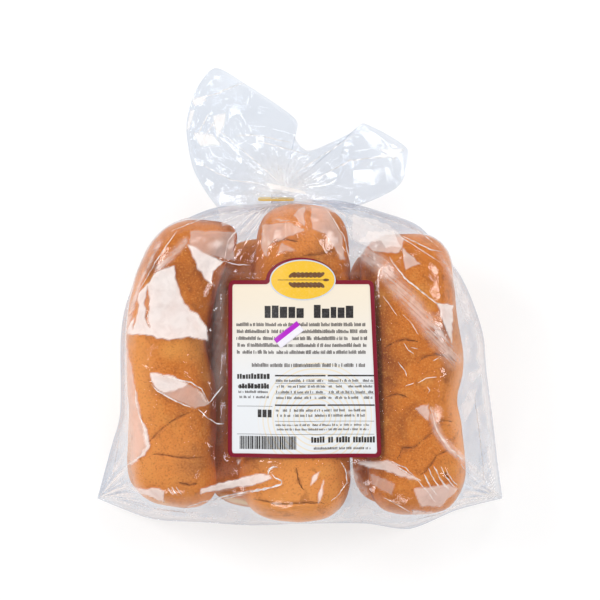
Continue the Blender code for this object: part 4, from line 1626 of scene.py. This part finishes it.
# Blocks of print: left, baseline of the first line, line length, line spacing, lines, count of marks,
# narrowest and widest mark, lowest and tallest mark, gap, share left blank. Sizes are in millimetres.
SMALL_PRINT = (
    (-37.0, -15.2, 76.0, 4.0, 5, 900, 0.30, 0.60, 1.3, 2.3, 0.17, 0.12),
    (-28.0, -38.8, 66.0, 4.0, 1, 120, 0.35, 0.65, 1.5, 2.4, 0.22, 0.14),
    (-36.0, -51.0, 18.0, 3.0, 3, 120, 0.28, 0.55, 0.9, 1.6, 0.20, 0.15),
    (-14.0, -47.4, 29.0, 3.3, 4, 210, 0.28, 0.55, 0.9, 1.6, 0.20, 0.30),
    (16.5, -47.4, 26.0, 3.3, 4, 190, 0.28, 0.55, 0.9, 1.6, 0.20, 0.30),
    (-14.0, -64.6, 52.0, 3.0, 2, 200, 0.28, 0.55, 0.9, 1.6, 0.20, 0.25),
    (-14.0, -72.9, 54.0, 2.6, 2, 220, 0.25, 0.50, 0.7, 1.3, 0.18, 0.20),
    (8.0, -86.6, 33.0, 3.0, 1, 60, 0.35, 0.65, 1.0, 1.6, 0.25, 0.12),
)
BOLD_PRINT = (
    (-20.5, -10.4, 52.0, 10.0, 1, 11, 3.2, 4.5, 5.4, 7.6, 0.75, 0.06),
    (-36.5, -45.8, 20.0, 5.6, 2, 26, 1.1, 1.7, 2.2, 3.2, 0.40, 0.0),
    (-24.5, -68.0, 10.0, 6.0, 1, 3, 2.1, 2.4, 4.4, 4.6, 0.6, 0.0),
    (6.5, -82.6, 37.0, 6.0, 1, 26, 1.0, 1.5, 2.9, 3.7, 0.40, 0.12),
)
BAR_CODE = (-35.0, -86.5, 33.5, 20.0, 1, 46, 0.26, 1.05, 7.6, 7.6, 0.34, 0.0)
# Rules: left and right end, y, thickness, in millimetres.
RULES = (
    (-14.5, 14.8, -43.8, 0.85),
    (16.0, 42.8, -43.8, 0.85),
    (-14.5, 14.8, -60.9, 0.85),
    (16.0, 43.2, -60.9, 0.85),
    (-14.5, 14.8, -48.2, 0.22),
    (16.0, 42.8, -48.2, 0.22),
    (-14.5, 14.8, -54.4, 0.22),
    (16.0, 43.0, -54.4, 0.22),
    (-36.5, -16.0, -61.6, 0.22),
    (-36.5, 43.0, -77.8, 0.22),
    (-14.5, 43.0, -70.2, 0.22),
)


def join_pieces(name, pieces):
    """One object from several, whose meshes go."""
    for piece in bpy.context.selected_objects:
        piece.select_set(False)
    for piece in pieces:
        piece.select_set(True)
    bpy.context.view_layer.objects.active = pieces[0]
    bpy.ops.object.join()
    pieces[0].name = name
    pieces[0].data.name = name
    return pieces[0]


def lay_on_label(piece, lift):
    """Moves a flat piece's points up to the label's face."""
    mesh = piece.data
    flat = np.empty(len(mesh.vertices) * 3, np.float32)
    mesh.vertices.foreach_get("co", flat)
    flat = flat.reshape(-1, 3)
    flat[:, 2] += paper_height(flat[:, 0], flat[:, 1]) + lift
    mesh.vertices.foreach_set("co", flat.ravel())
    mesh.update()
    return piece


def shift_flat(piece, left, low):
    for vertex in piece.data.vertices:
        vertex.co.x += left
        vertex.co.y += low


def flat_bar(name, left, right, low, high, material):
    """A flat bar cut into short cells, so that it can follow the label."""
    columns = max(2, int((right - left) / (1.5 * MM)))
    x, y = np.meshgrid(np.linspace(left, right, columns), np.array((low, high)))
    return link_up(name, mesh_of(name, np.dstack([x, y, 0 * x]), grid_faces(2, columns)), material)


def flat_ellipse(name, centre, half_axes, material, rings=8, sides=96):
    """A flat ellipse of rings round its centre."""
    share = np.linspace(0.02, 1, rings)[:, None]
    turn = np.linspace(0, 2 * math.pi, sides, endpoint=False)[None, :]
    x = centre[0] + half_axes[0] * share * np.cos(turn)
    y = centre[1] + half_axes[1] * share * np.sin(turn)
    points = np.vstack([np.dstack([x, y, 0 * x]).reshape(-1, 3), (*centre, 0)])
    faces = [tuple(f) for f in grid_faces(rings, sides, wrapped=True)]
    faces += [(len(points) - 1, k, (k + 1) % sides) for k in range(sides)]
    made = mesh_of(name, points, faces)
    if made.polygons[0].normal.z < 0:
        made.flip_normals()
    return link_up(name, made, material)


class BREADBAG_OT_print(bpy.types.Operator):
    """Prints the label: lines of marks, rules, a bar code and a plain badge"""

    bl_idname = "bread_bag.print"
    bl_label = "Label Print"

    def execute(self, context):
        look = settings().label
        ink = ink_material("black offset ink", look.ink)
        grey = ink_material("grey offset ink", linear("#55504E"))
        tree = print_tree()
        blocks = [(grey, block) for block in SMALL_PRINT]
        blocks += [(ink, block) for block in BOLD_PRINT] + [(ink, BAR_CODE)]
        marks = []
        for seed, (material, block) in enumerate(blocks):
            left, low, line, spacing, lines, count, narrow, wide, lowest, tallest, gap, blank = block
            values = {
                "Count": count,
                "Line Length": line * MM,
                "Line Spacing": spacing * MM,
                "Lines": lines,
                "Narrowest": narrow * MM,
                "Widest": wide * MM,
                "Lowest": lowest * MM,
                "Tallest": tallest * MM,
                "Gap": gap * MM,
                "Blank Share": blank,
                "Seed": 3 * seed,
                "Material": material,
            }
            piece = made_by_nodes(f"marks_{seed}", tree, values)
            shift_flat(piece, left * MM, low * MM)
            marks.append(piece)
        for place, (left, right, y, thick) in enumerate(RULES):
            low, high = (y - thick / 2) * MM, (y + thick / 2) * MM
            marks.append(flat_bar(f"rule_{place}", left * MM, right * MM, low, high, ink))
        text = lay_on_label(join_pieces("label_print", marks), 0.05 * MM)
        finish_piece(text, "label_paper", "label")

        rim_axes = [axis + 0.7 * MM for axis in BADGE_HALF_AXES]
        blue, yellow = ink_material("pale blue ink", look.rim), ink_material("yellow ink", look.badge)
        rim = flat_ellipse("badge_rim", BADGE_CENTRE, rim_axes, blue)
        face = flat_ellipse("badge_face", BADGE_CENTRE, BADGE_HALF_AXES, yellow)
        finish_piece(lay_on_label(rim, 0.10 * MM), "label_paper", "label")
        finish_piece(lay_on_label(face, 0.15 * MM), "label_paper", "label")
        grains = lay_on_label(wheat_sprig(ink_material("brown ink", linear("#6A4420"))), 0.20 * MM)
        finish_piece(grains, "label_paper", "label")
        return {"FINISHED"}


def wheat_sprig(material):
    """A plain ear of wheat on its stem, lying across the badge."""
    grains = []
    start, reach = BADGE_CENTRE[0] - 0.0145, 0.028
    for step in range(8):
        along = start + reach * (0.30 + 0.085 * step)
        for side in (1, -1):
            middle = (along, BADGE_CENTRE[1] + side * 0.0029)
            grain = flat_ellipse("grain", (0, 0), (0.0024, 0.00112), material, rings=3, sides=20)
            turn = side * math.radians(34)
            for vertex in grain.data.vertices:
                x, y = vertex.co.x, vertex.co.y
                vertex.co.x = middle[0] + x * math.cos(turn) - y * math.sin(turn)
                vertex.co.y = middle[1] + x * math.sin(turn) + y * math.cos(turn)
            grains.append(grain)
    end, middle = start + reach, BADGE_CENTRE[1]
    stem = flat_bar("stem", start, end, middle - 0.00018, middle + 0.00018, material)
    tip = flat_ellipse("grain", (end, middle), (0.0018, 0.0008), material, rings=3, sides=20)
    return join_pieces("badge_wheat", [stem, tip, *grains])


class BREADBAG_OT_sticker(bpy.types.Operator):
    """Sticks the small price sticker askew on the label"""

    bl_idname = "bread_bag.sticker"
    bl_label = "Price Sticker"

    def execute(self, context):
        cos, sin = math.cos(STICKER_TURN), math.sin(STICKER_TURN)
        across, up = np.meshgrid(np.linspace(-1, 1, 35), np.linspace(-1, 1, 15))
        u, v = across * STICKER_SIZE[0] / 2, up * STICKER_SIZE[1] / 2
        x, y = STICKER_CENTRE[0] + u * cos - v * sin, STICKER_CENTRE[1] + u * sin + v * cos
        z = paper_height(x, y) + 0.25 * MM
        sheet = mesh_of("sticker", np.dstack([x, y, z]), grid_faces(*x.shape), {"upwards": up})
        sticker = link_up("sticker", sheet, sticker_material())
        thicken(sticker, 0.12 * MM)
        finish_piece(sticker, "sticker_paper", "price_sticker")
        return {"FINISHED"}


def sticker_material():
    """Gloss price sticker paper: white with a printed purple end."""
    made, tree = new_material("gloss sticker paper")
    upwards = put(tree, PAINTED, out="Fac", attribute_name="upwards")
    end = put(tree, RANGE, (upwards, 0.10, 0.14), interpolation_type="SMOOTHSTEP")
    uneven = put(tree, NOISE, {"Vector": put(tree, COORDINATES, out="Object"), "Scale": 1 / 0.0016})
    white = put(tree, MIX, {0: uneven, 6: linear("#F4F1F8"), 7: linear("#E4DFEC")}, **IN_COLOUR)
    tone = put(tree, MIX, {0: end, 6: white, 7: tuple(settings().label.stamp)}, **IN_COLOUR)
    put(tree, OUTPUT, (put(tree, PRINCIPLED, {"Base Color": tone, "Roughness": 0.3, "IOR": 1.48}),))
    return made


def tag_material():
    """Moulded polystyrene closure tag: opaque yellow, satin, faintly wavy from the die."""
    made, tree = new_material("yellow polystyrene")
    wave = put(tree, NOISE, {"Vector": put(tree, COORDINATES, out="Object"), "Scale": 1 / 0.006})
    yellow = tuple(settings().label.closure)
    tone = put(tree, MIX, {0: wave, 6: yellow, 7: linear("#F2B920")}, **IN_COLOUR)
    bump = put(tree, BUMP, {"Strength": 0.2, "Distance": 0.1 * MM, "Height": wave})
    plastic = {"Base Color": tone, "Roughness": 0.33, "IOR": 1.58, "Normal": bump}
    put(tree, OUTPUT, (put(tree, PRINCIPLED, plastic),))
    return made


class BREADBAG_OT_closure(bpy.types.Operator):
    """Gives the closure tag at the neck its yellow plastic"""

    bl_idname = "bread_bag.closure"
    bl_label = "Closure Tag"

    def execute(self, context):
        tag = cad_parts["closure_tag"]
        plastic = tag_material()
        for place in tag.material_slots:
            place.material = plastic
        return {"FINISHED"}


# The softboxes: name, place, size, and brightness as a share of the one that is set.
SOFTBOXES = (
    ("left", (-0.95, 0.45, 1.05), 0.50, 1.0),
    ("right", (1.05, 0.25, 0.85), 0.42, 1.0),
    ("foot", (-0.30, -1.20, 0.55), 0.40, 0.6),
    ("head", (0.10, 1.15, 1.0), 0.34, 0.8),
)


def softbox(name, place, size, brightness):
    """A square light that faces the middle of the pack."""
    lamp = bpy.data.lights.new(name, "AREA")
    lamp.shape = "SQUARE"
    lamp.size = size
    lamp.energy = brightness * math.pi * size**2
    made = bpy.data.objects.new(name, lamp)
    made.location = place
    made.rotation_euler = (Vector(place) - Vector((0, 0, 0.05))).to_track_quat("Z", "Y").to_euler()
    bpy.context.scene.collection.objects.link(made)


def floor_material():
    """A matt white light table, which washes out the shadow round the pack as the photo's ground does."""
    look = settings().studio
    made, tree = new_material("matt white floor")
    grain = put(tree, NOISE, {"Vector": put(tree, COORDINATES, out="Object"), "Scale": 1 / 0.004})
    tone = put(tree, MIX, {0: grain, 6: tuple(look.floor), 7: linear("#B2B2B3")}, **IN_COLOUR)
    board = {"Base Color": tone, "Roughness": 0.9, "Emission Color": linear("#FFFFFF")}
    board["Emission Strength"] = look.glow
    put(tree, OUTPUT, (put(tree, PRINCIPLED, board),))
    return made


class BREADBAG_OT_studio(bpy.types.Operator):
    """Sets up the pale floor, the soft lights and the camera"""

    bl_idname = "bread_bag.studio"
    bl_label = "Studio"

    def execute(self, context):
        look = settings().studio
        scene = context.scene
        bpy.ops.mesh.primitive_plane_add(size=12, location=(0, 0, -0.0004))
        floor = context.object
        floor.name = "floor"
        floor.data.materials.append(floor_material())

        for name, place, size, share in SOFTBOXES:
            softbox("softbox_" + name, place, size, look.softbox * share)

        world = bpy.data.worlds.new("even white surround")
        world.use_nodes = True
        world.node_tree.nodes["Background"].inputs["Color"].default_value = linear("#FFFFFF")
        world.node_tree.nodes["Background"].inputs["Strength"].default_value = look.surround
        scene.world = world

        lens = bpy.data.cameras.new("camera")
        lens.lens = 120
        lens.sensor_width = 36
        camera = bpy.data.objects.new("camera", lens)
        camera.location = (0, 0, look.camera_height)
        scene.collection.objects.link(camera)
        scene.camera = camera
        scene.view_settings.view_transform = "Standard"
        scene.cycles.transparent_max_bounces = 24
        return {"FINISHED"}


class BreadBagSettings(bpy.types.PropertyGroup):
    """Everything that a user would change."""

    bread: bpy.props.PointerProperty(type=BreadSettings, name="Bread", description="The rolls")
    film: bpy.props.PointerProperty(type=FilmSettings, name="Film", description="The clear film")
    label: bpy.props.PointerProperty(type=LabelSettings, name="Label", description="Label and closure")
    studio: bpy.props.PointerProperty(type=StudioSettings, name="Studio", description="Floor and lights")


OPERATORS = (
    BREADBAG_OT_rolls,
    BREADBAG_OT_body_film,
    BREADBAG_OT_mouth_film,
    BREADBAG_OT_creases,
    BREADBAG_OT_cracks,
    BREADBAG_OT_label,
    BREADBAG_OT_print,
    BREADBAG_OT_sticker,
    BREADBAG_OT_closure,
    BREADBAG_OT_studio,
)


class BREADBAG_PT_panel(bpy.types.Panel):
    """Lists the operators in the sidebar"""

    bl_idname = "BREADBAG_PT_panel"
    bl_label = "Bread Bag"
    bl_space_type = "VIEW_3D"
    bl_region_type = "UI"
    bl_category = "Bread Bag"

    def draw(self, context):
        for operator in OPERATORS:
            self.layout.operator(operator.bl_idname)


SETTINGS = (BreadSettings, FilmSettings, LabelSettings, StudioSettings, BreadBagSettings)
CLASSES = (*SETTINGS, *OPERATORS, BREADBAG_PT_panel)


def register():
    for made in CLASSES:
        bpy.utils.register_class(made)
    bpy.types.Scene.bread_bag = bpy.props.PointerProperty(type=BreadBagSettings)


def unregister():
    del bpy.types.Scene.bread_bag
    for made in reversed(CLASSES):
        bpy.utils.unregister_class(made)


def main():
    register()
    noise.seed_set(NOISE_SEED)
    for operator in OPERATORS:
        group, name = operator.bl_idname.split(".")
        getattr(getattr(bpy.ops, group), name)()


if __name__ == "__main__":
    main()
